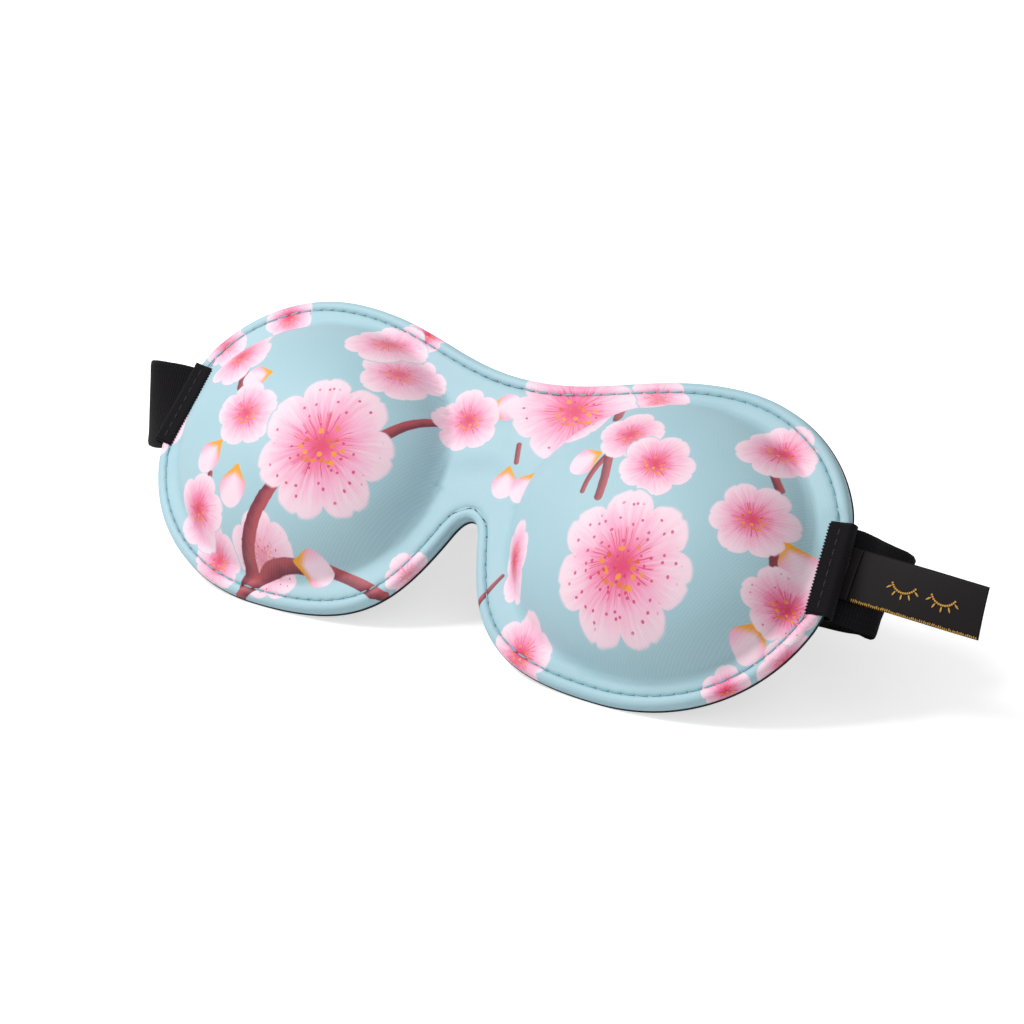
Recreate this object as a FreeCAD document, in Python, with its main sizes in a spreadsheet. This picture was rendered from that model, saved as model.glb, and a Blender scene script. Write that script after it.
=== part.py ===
import FreeCAD, Part
import math
import os
import Sketcher

# Sleep eye mask, in millimetres.
# The mask stands on its two cheek edges, leans back and is propped by its head strap.
# Row frame: X along the mask, Y from the mask's front towards the strap, Z up.
# Mask frame: u along the mask, v up its plane from the cheek edges, w out of its front.

SIZES = [
    ("half_width", 108.0, "centre line to the widest point of the edge"),
    ("widest_height", 48.5, "height of the widest point, up the mask"),
    ("brow_offset", 61.7, "centre line to the top of each brow lobe"),
    ("brow_height", 90.2, "cheek edge to brow edge"),
    ("saddle_height", 79.8, "cheek edge to the dip between the brows"),
    ("cheek_offset", 55.6, "centre line to the lowest point of each cheek"),
    ("flank_offset", 5.1, "half width of the nose notch near its top"),
    ("flank_height", 31.5, "height at which the notch starts to close"),
    ("notch_height", 37.9, "cheek edge to the top of the nose notch"),
    ("rest_angle", 48.4, "mask plane above the ground, degrees"),
    ("rim_thickness", 4.0, "flat rim, front to back"),
    ("edge_round", 1.6, "rolled front edge of the cover"),
    ("back_round", 0.4, "rolled back edge of the cover"),
    ("cover_thickness", 0.8, "printed satin with its backing"),
    ("lining_thickness", 0.8, "black inner skin"),
    ("layer_gap", 0.1, "clearance between the laminated layers"),
    ("dome_offset", 56.5, "centre line to the middle of each eye dome"),
    ("dome_rise", 45.0, "cheek edge to the middle of each eye dome"),
    ("dome_half_length", 43.0, "eye dome, along the mask"),
    ("dome_half_height", 38.0, "eye dome, up the mask"),
    ("dome_depth", 22.0, "eye dome crown above the rim's middle plane"),
    ("dome_round", 18.0, "shoulder radius of each eye dome"),
    ("foam_thickness", 3.0, "foam in the domes"),
    ("seam_inset", 4.0, "edge to the lockstitch"),
    ("thread_width", 0.6, "sewing thread, across"),
    ("thread_height", 0.25, "sewing thread, above the cloth"),
    ("tape_width", 25.0, "binding tape, along the mask's edge"),
    ("tape_depth", 6.5, "binding tape, in from the mask's edge"),
    ("tape_thickness", 0.8, "binding tape"),
    ("tape_rise", 49.5, "cheek edge to the middle of the binding tape"),
    ("tape_tilt", 6.0, "binding tape's turn that follows the edge, degrees"),
    ("fit_gap", 0.3, "clearance between soft pieces that only lie together"),
    ("stitch_length", 2.2, "one binding stitch"),
    ("stitch_pitch", 2.8, "binding stitch to binding stitch"),
    ("stitch_count", 8, "binding stitches in a row"),
    ("strap_width", 25.0, "elastic head strap, across"),
    ("strap_thickness", 1.2, "elastic head strap"),
    ("strap_steps", 26, "sections of each strap beside the mask"),
    ("rear_distance", 90.0, "cheek edge to the strap's run behind the mask"),
    ("ring_centre", -22.0, "place of the strap ring along the mask"),
    ("ring_gap", 5.6, "opening of the strap ring between its bars"),
    ("slider_centre", 14.0, "place of the slider along the mask"),
    ("bar_tack_length", 3.0, "stitch block that closes a sewn loop"),
    ("bar_tack_height", 22.0, "stitch block, across the strap"),
    ("tack_gap", 1.5, "stitch block to the bar or the fold beside it"),
    ("loop_tail", 10.0, "doubled strap beyond a sewn loop"),
    ("loop_run", 8.0, "straight strap beside the ring's bar, before its loop closes"),
    ("left_run_start", -50.0, "place along the mask where the left strap turns straight"),
    ("right_run_start", 40.0, "place along the mask where the right strap turns straight"),
    ("slider_slot", 6.5, "opening of the slider on each side of its middle bar"),
    ("bar_width", 2.4, "bars of the ring and the slider"),
    ("bar_thickness", 2.2, "moulded hardware, front to back"),
    ("hardware_margin", 0.6, "clearance above and below the strap in its hardware"),
    ("label_length", 36.0, "label beyond the binding"),
    ("label_width", 13.5, "label, across"),
    ("label_thickness", 0.7, "folded label"),
    ("label_offset", 1.0, "label's middle above the binding's"),
    ("label_bend", 16.0, "label's turn back from the mask plane, degrees"),
    ("label_reveal", 0.9, "label's sewn end beyond the binding"),
    ("label_twist", 8.0, "label's turn about its own length, degrees"),
    ("edging_width", 0.9, "overlocked edge of the label"),
    ("motif_radius", 3.4, "lid arc of the label's motif"),
    ("motif_spacing", 10.0, "lid arc to lid arc"),
]

SIDES = {"left": -1, "right": 1}


def edge_poles(inset):
    """Control points of the right half of the mask's edge, drawn in by inset.

    Five cubic spans that share their ends, from the brow saddle to the nose notch.
    """
    half = f"(sizes.half_width - {inset})"
    brow = f"(sizes.brow_height - {inset})"
    saddle = f"(sizes.saddle_height - {inset})"
    notch = f"(sizes.notch_height + {inset})"
    flank = f"(sizes.flank_offset + {inset})"
    shoulder = f"({half} - sizes.brow_offset)"
    hip = f"({half} - sizes.cheek_offset)"
    return [
        ("0", saddle),
        ("0.39 * sizes.brow_offset", saddle),
        ("0.58 * sizes.brow_offset", brow),
        ("sizes.brow_offset", brow),
        (f"sizes.brow_offset + 0.57 * {shoulder}", brow),
        (half, f"sizes.widest_height + 0.53 * ({brow} - sizes.widest_height)"),
        (half, "sizes.widest_height"),
        (half, "0.40 * sizes.widest_height"),
        (f"sizes.cheek_offset + 0.57 * {hip}", inset),
        ("sizes.cheek_offset", inset),
        ("0.40 * sizes.cheek_offset", inset),
        (f"{flank} + 0.17 * (sizes.cheek_offset - {flank})", f"0.28 * sizes.flank_height + {inset}"),
        (flank, "sizes.flank_height"),
        (f"0.88 * {flank}", f"sizes.flank_height + 0.25 * ({notch} - sizes.flank_height)"),
        (f"0.60 * {flank}", notch),
        ("0", notch),
    ]


doc = FreeCAD.newDocument("sleep_eye_mask")
sheet = doc.addObject("Spreadsheet::Sheet", "sizes")
for row, (alias, value, note) in enumerate(SIZES, start=1):
    sheet.set(f"A{row}", note)
    sheet.set(f"B{row}", str(value))
    sheet.setAlias(f"B{row}", alias)
doc.recompute()

nodes = []


def size(alias):
    """The value of one driving dimension."""
    return float(sheet.get(alias))


def total(aliases):
    """The sum of some driving dimensions, as a number."""
    return sum(size(alias) for alias in aliases)


def total_text(aliases):
    """The same sum, as an expression."""
    return "(" + " + ".join(["0"] + [f"sizes.{alias}" for alias in aliases]) + ")"


def add(type_name, name, **values):
    """A document object: text binds a property to the sheet, anything else is set."""
    item = doc.addObject(type_name, name)
    for prop, value in values.items():
        if isinstance(value, str):
            item.setExpression(prop, value)
        else:
            setattr(item, prop, value)
    return item


def move(item, x="0", y="0", z="0"):
    """Bind an object's place to the sheet."""
    for axis, expression in zip("xyz", (x, y, z)):
        item.setExpression(f"Placement.Base.{axis}", expression)
    return item


def box(name, length, width, height, x="0", y="0", z="0"):
    """A block with its low corner at x, y, z."""
    return move(add("Part::Box", name, Length=length, Width=width, Height=height), x, y, z)


def fuse(name, shapes):
    """One solid of several, or the only one."""
    if len(shapes) == 1:
        return shapes[0]
    return add("Part::MultiFuse", name, Shapes=shapes, Refine=True)


def cut(name, base, tool):
    """The base without the tool."""
    return add("Part::Cut", name, Base=base, Tool=tool, Refine=True)


def group(name, shapes):
    """Separate solids of one piece."""
    return add("Part::Compound", name, Links=shapes)


def node(item, label, placement=None):
    """Name a finished piece and set it in the row frame."""
    item.Label = label
    if placement is not None:
        item.Placement = placement
    nodes.append(item)
    return item


# ---------------------------------------------------------------- resting place of the mask

REST_TURN = FreeCAD.Rotation(FreeCAD.Vector(1, 0, 0), size("rest_angle"))


def mask_lift():
    """Height that sets the cover's rolled back edge on the ground."""
    angle = math.radians(size("rest_angle"))
    radius = size("back_round")
    back = size("rim_thickness") / 2 - radius
    return back * math.cos(angle) + radius - radius * math.sin(angle)


MASK_PLACE = FreeCAD.Placement(FreeCAD.Vector(0, 0, mask_lift()), REST_TURN)


def on_mask(u, v, w):
    """A point of the mask frame, in the row frame."""
    return MASK_PLACE.multVec(FreeCAD.Vector(u, v, w))


def along_mask(u, v, w):
    """A direction of the mask frame, in the row frame."""
    return REST_TURN.multVec(FreeCAD.Vector(u, v, w))


# ---------------------------------------------------------------- outline, plates and domes

FRONT = "sizes.rim_thickness / 2"
BACK = "-sizes.rim_thickness / 2"
SKIN = ["cover_thickness"]
FOAM = SKIN + ["layer_gap"]
HOLLOW = FOAM + ["foam_thickness"]
CUP = HOLLOW + ["layer_gap"]
EYE = CUP + ["lining_thickness"]


def edge_sketch(name, inset):
    """The closed edge of the mask: cubic spans whose control points follow the sheet."""
    sketch = doc.addObject("Sketcher::SketchObject", name)
    right = edge_poles(inset)
    poles = right + [(f"-({x})", y) for x, y in reversed(right[:-1])]
    for number, start in enumerate(range(0, len(poles) - 1, 3), start=1):
        rough = [FreeCAD.Vector(10.0 * (step + 1), 10.0 * number + step * step, 0) for step in range(4)]
        curve = sketch.addGeometry(Part.BSplineCurve(rough, None, None, False, 3, None, False))
        sketch.exposeInternalGeometry(curve)
        for step, pole in enumerate(rough):
            x, y = poles[start + step]
            for kind, coordinate, expression in (("DistanceX", pole.x, x), ("DistanceY", pole.y, y)):
                handle = Sketcher.Constraint(kind, -1, 1, curve + 1 + step, 3, coordinate)
                sketch.setExpression(f"Constraints[{sketch.addConstraint(handle)}]", expression)
    return sketch


def extrude(name, base, bottom, height):
    """A closed outline as a solid from w = bottom."""
    solid = add("Part::Extrusion", name, Base=base, Dir=FreeCAD.Vector(0, 0, 1), Solid=True,
                LengthFwd=height)
    return move(solid, z=bottom)


def plate(name, inset, bottom, height):
    """The mask's outline, drawn in by inset, as a plate."""
    return extrude(name, edge_sketch(f"{name}_edge", total_text(inset)), bottom, height)


def rolled(name, base, radius, front):
    """A solid with the whole edge of its front or back face rounded."""
    doc.recompute()
    edges = list(enumerate(base.Shape.Edges, start=1))
    levels = [edge.CenterOfMass.z for number, edge in edges]
    level = max(levels) if front else min(levels)
    item = add("Part::Fillet", name, Base=base)
    item.Edges = [(number, radius, radius) for number, edge in edges
                  if abs(edge.CenterOfMass.z - level) < 0.001]
    return item


def domes(name, shrink, bottom):
    """Both eye domes, smaller than the cover's by shrink all round, from w = bottom."""
    less = total_text(shrink)
    finished = []
    for side, sign in SIDES.items():
        base = add("Part::Ellipse", f"{name}_{side}_base",
                   MajorRadius=f"sizes.dome_half_length - ({less})",
                   MinorRadius=f"sizes.dome_half_height - ({less})")
        wall = extrude(f"{name}_{side}_wall", base, bottom, f"sizes.dome_depth - ({less}) - ({bottom})")
        move(wall, f"{sign} * sizes.dome_offset", "sizes.dome_rise", bottom)
        finished.append(rolled(f"{name}_{side}", wall, size("dome_round") - total(shrink), True))
    return finished


# ---------------------------------------------------------------- moulded shell

def front_cover():
    """Printed skin: domed front, rolled front edge and a side wall that turns to the back."""
    rim = plate("cover_rim", [], BACK, "sizes.rim_thickness")
    rim = rolled("cover_front_edge", rim, size("edge_round"), True)
    rim = rolled("cover_back_edge", rim, size("back_round"), False)
    outer = fuse("cover_outer", [rim] + domes("cover_dome", [], "0"))
    space = plate("cover_space_rim", SKIN, f"{BACK} - 1",
                  "sizes.rim_thickness + 1 - sizes.cover_thickness")
    inner = fuse("cover_space", [space] + domes("cover_space_dome", SKIN, "0"))
    return cut("front_cover", outer, inner)


def foam_core():
    """Moulded foam between the skins, with a hollow behind each eye."""
    bottom = f"{BACK} + sizes.lining_thickness + sizes.layer_gap"
    height = "sizes.rim_thickness - sizes.cover_thickness - sizes.lining_thickness - 2 * sizes.layer_gap"
    rim = plate("foam_rim", FOAM, bottom, height)
    outer = fuse("foam_outer", [rim] + domes("foam_dome", FOAM, "0"))
    return cut("foam_core", outer, fuse("foam_hollows", domes("foam_hollow", HOLLOW, f"{BACK} - 1")))


def rear_lining():
    """Black inner skin that follows the eye hollows."""
    rim = plate("lining_rim", FOAM, BACK, "sizes.lining_thickness")
    outer = fuse("lining_outer", [rim] + domes("lining_cup", CUP, BACK))
    return cut("rear_lining", outer, fuse("lining_eyes", domes("lining_eye", EYE, f"{BACK} - 1")))


def rim_seam(name, bottom):
    """Thread of the lockstitch, a closed line a little inside the mask's edge."""
    line = edge_sketch(f"{name}_line", "(sizes.seam_inset - sizes.thread_width / 2)")
    core = edge_sketch(f"{name}_core_line", "(sizes.seam_inset + sizes.thread_width / 2)")
    outer = extrude(f"{name}_outer", line, bottom, "sizes.thread_height")
    inner = extrude(f"{name}_inner", core, f"{bottom} - 1", "sizes.thread_height + 2")
    return cut(name, outer, inner)


node(front_cover(), "front_cover", MASK_PLACE)
node(foam_core(), "foam_core", MASK_PLACE)
node(rear_lining(), "rear_lining", MASK_PLACE)
node(rim_seam("rim_seam_front", FRONT), "rim_seam_front", MASK_PLACE)
node(rim_seam("rim_seam_rear", f"{BACK} - sizes.thread_height"), "rim_seam_rear", MASK_PLACE)


# ---------------------------------------------------------------- binding tapes

TAPE_HALF = "(sizes.rim_thickness / 2 + sizes.fit_gap + sizes.tape_thickness)"
TAPE_OUTER = "(sizes.half_width + sizes.fit_gap + sizes.tape_thickness)"
tape_half = total(["fit_gap", "tape_thickness"]) + size("rim_thickness") / 2
tape_outer = total(["half_width", "fit_gap", "tape_thickness"])


def tape_place(sign):
    """The tape follows the edge, so it turns a little about its own middle."""
    middle = FreeCAD.Vector(sign * size("half_width"), size("tape_rise"), 0)
    tilt = FreeCAD.Rotation(FreeCAD.Vector(0, 0, 1), sign * size("tape_tilt"))
    turn = FreeCAD.Placement(FreeCAD.Vector(), tilt, middle)
    return MASK_PLACE * turn


def binding(side, sign):
    """Tape folded over the edge: a front leaf, a back leaf and the fold between them."""
    name = f"binding_{side}"
    length = "sizes.tape_depth + sizes.fit_gap + sizes.tape_thickness"
    low = "sizes.tape_rise - sizes.tape_width / 2"
    start = f"{TAPE_OUTER} - ({length})" if sign > 0 else f"-{TAPE_OUTER}"
    tape = box(f"{name}_tape", length, "sizes.tape_width", f"2 * {TAPE_HALF}", start, low, f"-{TAPE_HALF}")
    shift = "-1" if sign > 0 else "sizes.tape_thickness"
    slot = box(f"{name}_slot", f"{length} + 1 - sizes.tape_thickness", "sizes.tape_width + 2",
               f"2 * ({TAPE_HALF} - sizes.tape_thickness)", f"{start} + ({shift})", f"{low} - 1",
               f"-{TAPE_HALF} + sizes.tape_thickness")
    return cut(name, tape, slot)


def binding_seam(side, sign):
    """One row of stitches on the front leaf."""
    stitches = []
    first = "sizes.tape_rise - sizes.stitch_pitch * (sizes.stitch_count - 1) / 2 - sizes.stitch_length / 2"
    middle = "(sizes.half_width - sizes.tape_depth / 2)"
    across = f"{sign} * {middle} - sizes.thread_width / 2"
    for number in range(int(size("stitch_count"))):
        up = f"{first} + {number} * sizes.stitch_pitch"
        name = f"binding_stitch_{side}_{number + 1}"
        stitches.append(box(name, "sizes.thread_width", "sizes.stitch_length", "sizes.thread_height",
                            across, up, TAPE_HALF))
    return group(f"binding_seam_{side}", stitches)


for side, sign in SIDES.items():
    node(binding(side, sign), f"binding_{side}", tape_place(sign))
    node(binding_seam(side, sign), f"binding_seam_{side}", tape_place(sign))


# ---------------------------------------------------------------- strap ring and slider

RING_BAR = (size("ring_gap") + size("bar_width")) / 2
SLIDER_BAR = size("slider_slot") + size("bar_width")
HARDWARE_HEIGHT = "(sizes.strap_width + 2 * (sizes.hardware_margin + sizes.bar_width))"
STRAP_RISE = size("strap_width") / 2 + total(["hardware_margin", "bar_width"])


def hardware(name, centre, openings, gap):
    """A moulded frame that stands on the ground: bars with openings between them."""
    length = f"({openings} * {gap} + {openings + 1} * sizes.bar_width)"
    start = f"{centre} - {length} / 2"
    front = "sizes.rear_distance - sizes.bar_thickness / 2"
    frame = box(f"{name}_frame", length, "sizes.bar_thickness", HARDWARE_HEIGHT, start, front)
    slots = []
    for number in range(openings):
        slots.append(box(f"{name}_slot_{number + 1}", gap, "sizes.bar_thickness + 2",
                         f"{HARDWARE_HEIGHT} - 2 * sizes.bar_width",
                         f"{start} + sizes.bar_width + {number} * ({gap} + sizes.bar_width)",
                         f"{front} - 1", "sizes.bar_width"))
    return cut(name, frame, fuse(f"{name}_slots", slots))


node(hardware("strap_ring", "sizes.ring_centre", 1, "sizes.ring_gap"), "strap_ring")
node(hardware("strap_slider", "sizes.slider_centre", 2, "sizes.slider_slot"), "strap_slider")


# ---------------------------------------------------------------- strap behind the mask

HALF_STRAP = size("strap_thickness") / 2
HALF_BAR = size("bar_width") / 2
WRAP = math.hypot(HALF_BAR, size("bar_thickness") / 2) + size("fit_gap") + HALF_STRAP
LAYER = size("strap_thickness") + size("layer_gap")
UNDER_BAR = size("bar_thickness") / 2 + size("fit_gap") + HALF_STRAP
OVER_LOOP = WRAP + LAYER + size("fit_gap")


def point(x, y):
    """A point of the strap's path as seen from above, y from the hardware's middle plane."""
    return FreeCAD.Vector(x, size("rear_distance") + y, 0)


def touch(outside, bar_x, side):
    """Where a strap pulled from a point outside meets its wrap round a bar."""
    centre = point(bar_x, 0)
    away = outside - centre
    turn = side * math.degrees(math.acos(WRAP / away.Length))
    return centre + FreeCAD.Rotation(FreeCAD.Vector(0, 0, 1), turn).multVec(away.normalize() * WRAP)


def wrap(before, after, bar_x, facing):
    """Straight run, arc round the bar's far side and straight run back."""
    arrive = touch(before, bar_x, -facing if before.y >= after.y else facing)
    leave = touch(after, bar_x, facing if before.y >= after.y else -facing)
    arc = Part.Arc(arrive, point(bar_x + facing * WRAP, 0), leave)
    return [Part.LineSegment(before, arrive), arc, Part.LineSegment(leave, after)]


def polyline(points):
    """Straight runs from point to point."""
    return [Part.LineSegment(first, second) for first, second in zip(points, points[1:])]


def run(name, pieces):
    """An upright band that follows a path on the ground plan."""
    path = doc.addObject("Part::Feature", f"{name}_path")
    path.Shape = Part.Wire([piece.toShape() for piece in pieces])
    halves = []
    for label, sign in (("front", -1), ("rear", 1)):
        half = add("Part::Offset2D", f"{name}_{label}", Source=path, Fill=True,
                   Value=f"{sign} * sizes.strap_thickness / 2")
        half.Mode = "Skin"
        halves.append(extrude(f"{name}_{label}_band", half, "sizes.hardware_margin + sizes.bar_width",
                              "sizes.strap_width"))
    return fuse(name, halves)


def left_run():
    """Left strap's loop round the ring's left bar, with its doubled tail."""
    bar = size("ring_centre") - RING_BAR
    near = bar - size("loop_run")
    pieces = polyline([point(size("left_run_start"), LAYER / 2), point(near, LAYER / 2)])
    pieces += wrap(point(near, LAYER / 2), point(near, -LAYER / 2), bar, 1)
    pieces += polyline([point(near, -LAYER / 2), point(near - size("loop_tail"), -LAYER / 2)])
    return run("strap_left_run", pieces)


def rear_run():
    """Right strap through the slider, round the ring and back to the slider's middle bar."""
    middle = size("slider_centre")
    ring = size("ring_centre") + RING_BAR
    shoulder = size("bar_width")
    foot = SLIDER_BAR - HALF_BAR - HALF_STRAP - size("layer_gap")
    inner = foot - LAYER
    beyond = SLIDER_BAR + HALF_BAR + HALF_STRAP + total(["fit_gap", "layer_gap"])
    tail = inner + size("loop_tail")
    through = [point(size("right_run_start"), -UNDER_BAR), point(middle + foot, -UNDER_BAR),
               point(middle + shoulder, OVER_LOOP), point(middle - shoulder, OVER_LOOP),
               point(middle - foot, -UNDER_BAR), point(middle - beyond, -UNDER_BAR)]
    back = point(middle - tail, -UNDER_BAR - 2 * LAYER)
    entry = point(middle - inner, -UNDER_BAR - 2 * LAYER)
    end = point(middle - inner, -UNDER_BAR - LAYER)
    pieces = polyline(through)
    pieces += wrap(through[-1], back, ring, -1)
    pieces += polyline([back, entry])
    pieces += wrap(entry, end, middle, 1)
    pieces += polyline([end, point(middle - tail, -UNDER_BAR - LAYER)])
    return run("strap_rear_run", pieces)


def bar_tack(name, x, y):
    """Dense stitch block on the face of a doubled strap."""
    return box(name, "sizes.bar_tack_length", "sizes.thread_height", "sizes.bar_tack_height",
               str(x), f"sizes.rear_distance + {y} - sizes.thread_height",
               "sizes.hardware_margin + sizes.bar_width + (sizes.strap_width - sizes.bar_tack_height) / 2")


# ---------------------------------------------------------------- strap beside the mask

UPRIGHT = FreeCAD.Vector(0, 0, 1)
MASK_UP = along_mask(0, 1, 0)
FOLD_UP = along_mask(0, 0.932, -0.36)


def between(first, second, share):
    """A direction part of the way from one to another."""
    return (first * (1 - share) + second * share).normalize()


def side_run(name, stations):
    """A band through stations, each a centre and the direction across the band."""
    curve = Part.BSplineCurve()
    curve.interpolate([centre for centre, across in stations])
    marks = [curve.parameter(centre) for centre, across in stations]
    sections = []
    steps = int(size("strap_steps"))
    for number in range(steps + 1):
        mark = marks[0] + (marks[-1] - marks[0]) * number / steps
        leg = max(index for index in range(len(marks) - 1) if index == 0 or marks[index] < mark)
        share = (mark - marks[leg]) / (marks[leg + 1] - marks[leg])
        across = between(stations[leg][1], stations[leg + 1][1], share)
        ahead = curve.tangent(mark)[0]
        if number == steps:
            ahead = FreeCAD.Vector(math.copysign(1, ahead.x), 0, 0)
        normal = across.cross(ahead).normalize()
        turn = FreeCAD.Rotation(normal, across, normal.cross(across), "YXZ")
        corner = curve.value(mark) - normal * HALF_STRAP - across * (size("strap_width") / 2)
        section = add("Part::Plane", f"{name}_section_{number + 1}", Length="sizes.strap_thickness",
                      Width="sizes.strap_width")
        section.Placement = FreeCAD.Placement(corner, turn)
        sections.append(section)
    return add("Part::Loft", name, Sections=sections, Solid=True, Ruled=True)


def right_side_run():
    """Out from the binding, folded back on itself and inward to the run behind the mask.

    Each station stands a stated way past the edge, above the tape's middle and behind the mask,
    or at a place of its own in the row frame.
    """
    behind = -(tape_half + total(["fit_gap", "label_thickness", "fit_gap"]) + HALF_STRAP)
    rise = size("tape_rise")
    edge = size("half_width")
    return side_run("strap_right", [
        (on_mask(edge - 6, rise, behind - 0.4), MASK_UP),
        (on_mask(edge - 1.5, rise, behind - 0.8), MASK_UP),
        (on_mask(edge + 1.5, rise, behind - 2.4), between(MASK_UP, FOLD_UP, 0.2)),
        (on_mask(edge + 5.0, rise + 0.5, behind - 5.8), between(MASK_UP, FOLD_UP, 0.6)),
        (on_mask(edge + 8.0, rise + 1, behind - 9.8), FOLD_UP),
        (on_mask(edge + 8.6, rise + 1, behind - 12.6), FOLD_UP),
        (on_mask(edge + 6.4, rise + 1, behind - 15.0), FOLD_UP),
        (FreeCAD.Vector(98, 53, 24.5), between(FOLD_UP, UPRIGHT, 0.25)),
        (FreeCAD.Vector(82, 63, 20.5), between(FOLD_UP, UPRIGHT, 0.55)),
        (FreeCAD.Vector(65, 76, 17.0), between(FOLD_UP, UPRIGHT, 0.85)),
        (FreeCAD.Vector(50, size("rear_distance") - UNDER_BAR - 3, STRAP_RISE), UPRIGHT),
        (FreeCAD.Vector(size("right_run_start"), size("rear_distance") - UNDER_BAR, STRAP_RISE), UPRIGHT),
    ])


def left_side_run():
    """Out from the binding and round in one soft curve to the run behind the mask.

    Its stations are given as the right strap's are.
    """
    behind = -(tape_half + size("fit_gap") + HALF_STRAP)
    rise = size("tape_rise")
    edge = size("half_width")
    return side_run("strap_left_side", [
        (on_mask(-edge + 6, rise, behind), MASK_UP),
        (on_mask(-edge - 0.5, rise, behind - 0.2), MASK_UP),
        (on_mask(-edge - 6.5, rise, behind - 3.4), MASK_UP),
        (on_mask(-edge - 11, rise - 0.5, behind - 8.0), between(MASK_UP, UPRIGHT, 0.1)),
        (FreeCAD.Vector(-120.0, 48.0, 26.5), between(MASK_UP, UPRIGHT, 0.3)),
        (FreeCAD.Vector(-116.0, 57.0, 22.5), between(MASK_UP, UPRIGHT, 0.5)),
        (FreeCAD.Vector(-104.0, 70.0, 19.0), between(MASK_UP, UPRIGHT, 0.75)),
        (FreeCAD.Vector(-86.0, 81.0, 16.6), UPRIGHT),
        (FreeCAD.Vector(-66.0, size("rear_distance") - 1.5, STRAP_RISE), UPRIGHT),
        (FreeCAD.Vector(size("left_run_start"), size("rear_distance") + LAYER / 2, STRAP_RISE), UPRIGHT),
    ])


node(fuse("strap_left", [left_side_run(), left_run()]), "strap_left")
node(right_side_run(), "strap_right")
node(rear_run(), "strap_rear_run")
ring_tack_start = size("ring_centre") - RING_BAR - total(["loop_run", "bar_tack_length", "tack_gap"])
node(bar_tack("bar_tack_ring", ring_tack_start, -LAYER / 2 - HALF_STRAP), "bar_tack_ring")
slider_tack_start = size("slider_centre") - SLIDER_BAR - HALF_BAR - total(["bar_tack_length", "tack_gap"])
slider_tack_face = -UNDER_BAR - 2 * LAYER - HALF_STRAP
node(bar_tack("bar_tack_slider", slider_tack_start, slider_tack_face), "bar_tack_slider")


# ---------------------------------------------------------------- label

def label_place():
    """The label leaves the binding's back, turned back and twisted a little."""
    along = tape_outer + total(["label_reveal", "fit_gap"])
    up = size("tape_rise") + size("label_offset")
    hinge = FreeCAD.Vector(along, up, -tape_half - size("fit_gap"))
    bend = FreeCAD.Rotation(FreeCAD.Vector(0, 1, 0), size("label_bend"))
    twist = FreeCAD.Rotation(FreeCAD.Vector(1, 0, 0), size("label_twist"))
    return MASK_PLACE * FreeCAD.Placement(hinge, bend * twist)


def label_tab():
    """The label's sewn end, between the binding's back leaf and the strap."""
    tab = box("tab", "sizes.tape_depth + sizes.label_reveal", "sizes.label_width", "sizes.label_thickness",
              f"{TAPE_OUTER} - sizes.tape_depth",
              "sizes.tape_rise + sizes.label_offset - sizes.label_width / 2",
              f"-{TAPE_HALF} - sizes.fit_gap - sizes.label_thickness")
    return group("label_tab", [tab])


def label():
    """Folded satin strip."""
    strip = box("strip", "sizes.label_length", "sizes.label_width - sizes.edging_width",
                "sizes.label_thickness", "0", "sizes.edging_width - sizes.label_width / 2",
                "-sizes.label_thickness")
    return group("label", [strip])


def label_edging():
    """Overlocked lower edge."""
    thread = box("overlock", "sizes.label_length", "sizes.edging_width",
                 "sizes.label_thickness + sizes.thread_height", "0", "-sizes.label_width / 2",
                 "-sizes.label_thickness - sizes.thread_height / 2")
    return group("label_edging", [thread])


def label_motif():
    """Two stitched lid arcs, each the lower half of a thread ring."""
    lids = []
    for number, sign in enumerate((-1, 1), start=1):
        ring = add("Part::Cylinder", f"lid_{number}_outer", Radius="sizes.motif_radius",
                   Height="sizes.thread_height", Angle=180.0)
        hole = add("Part::Cylinder", f"lid_{number}_inner", Radius="sizes.motif_radius - sizes.thread_width",
                   Height="sizes.thread_height + 2")
        middle = f"sizes.label_length / 2 + {sign} * sizes.motif_spacing / 2"
        ring.Placement = FreeCAD.Placement(FreeCAD.Vector(), FreeCAD.Rotation(UPRIGHT, 180))
        move(ring, middle, "sizes.motif_radius / 2")
        move(hole, middle, "sizes.motif_radius / 2", "-1")
        lids.append(cut(f"lid_{number}", ring, hole))
    return group("label_motif", lids)


node(label_tab(), "label_tab", MASK_PLACE)
node(label(), "label", label_place())
node(label_edging(), "label_edging", label_place())
node(label_motif(), "label_motif", label_place())


# ---------------------------------------------------------------- checks and export

def check_and_export():
    """Stop on any failed object or shape, then write one STEP file for each piece."""
    doc.recompute()
    for item in doc.Objects:
        if "Invalid" in item.State or "Error" in item.State:
            raise RuntimeError(f"{item.Name} failed: {item.State}")
    for item in nodes:
        if item.Shape.isNull() or not item.Shape.isValid():
            raise RuntimeError(f"{item.Label} has no valid shape")
    os.makedirs("parts", exist_ok=True)
    for item in nodes:
        item.Shape.exportStep(f"parts/{item.Label}.step")
        print(f"{item.Label}: {len(item.Shape.Solids)} solids, {item.Shape.Volume:.0f} mm3")


check_and_export()
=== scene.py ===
"""Sleep eye mask: moulded shell in printed satin, black lining, ribbed straps and a sewn side label.

Lengths in this file are millimetres unless a name says otherwise. The mask's own frame is
u along the mask, v up its plane from the cheek edges, w out of its printed front.
"""
import logging
import math
import random
from dataclasses import dataclass, field
from enum import Enum
from typing import Any, Callable, Sequence

import bmesh
import bpy
import numpy as np
from mathutils import Matrix, Vector


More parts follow.
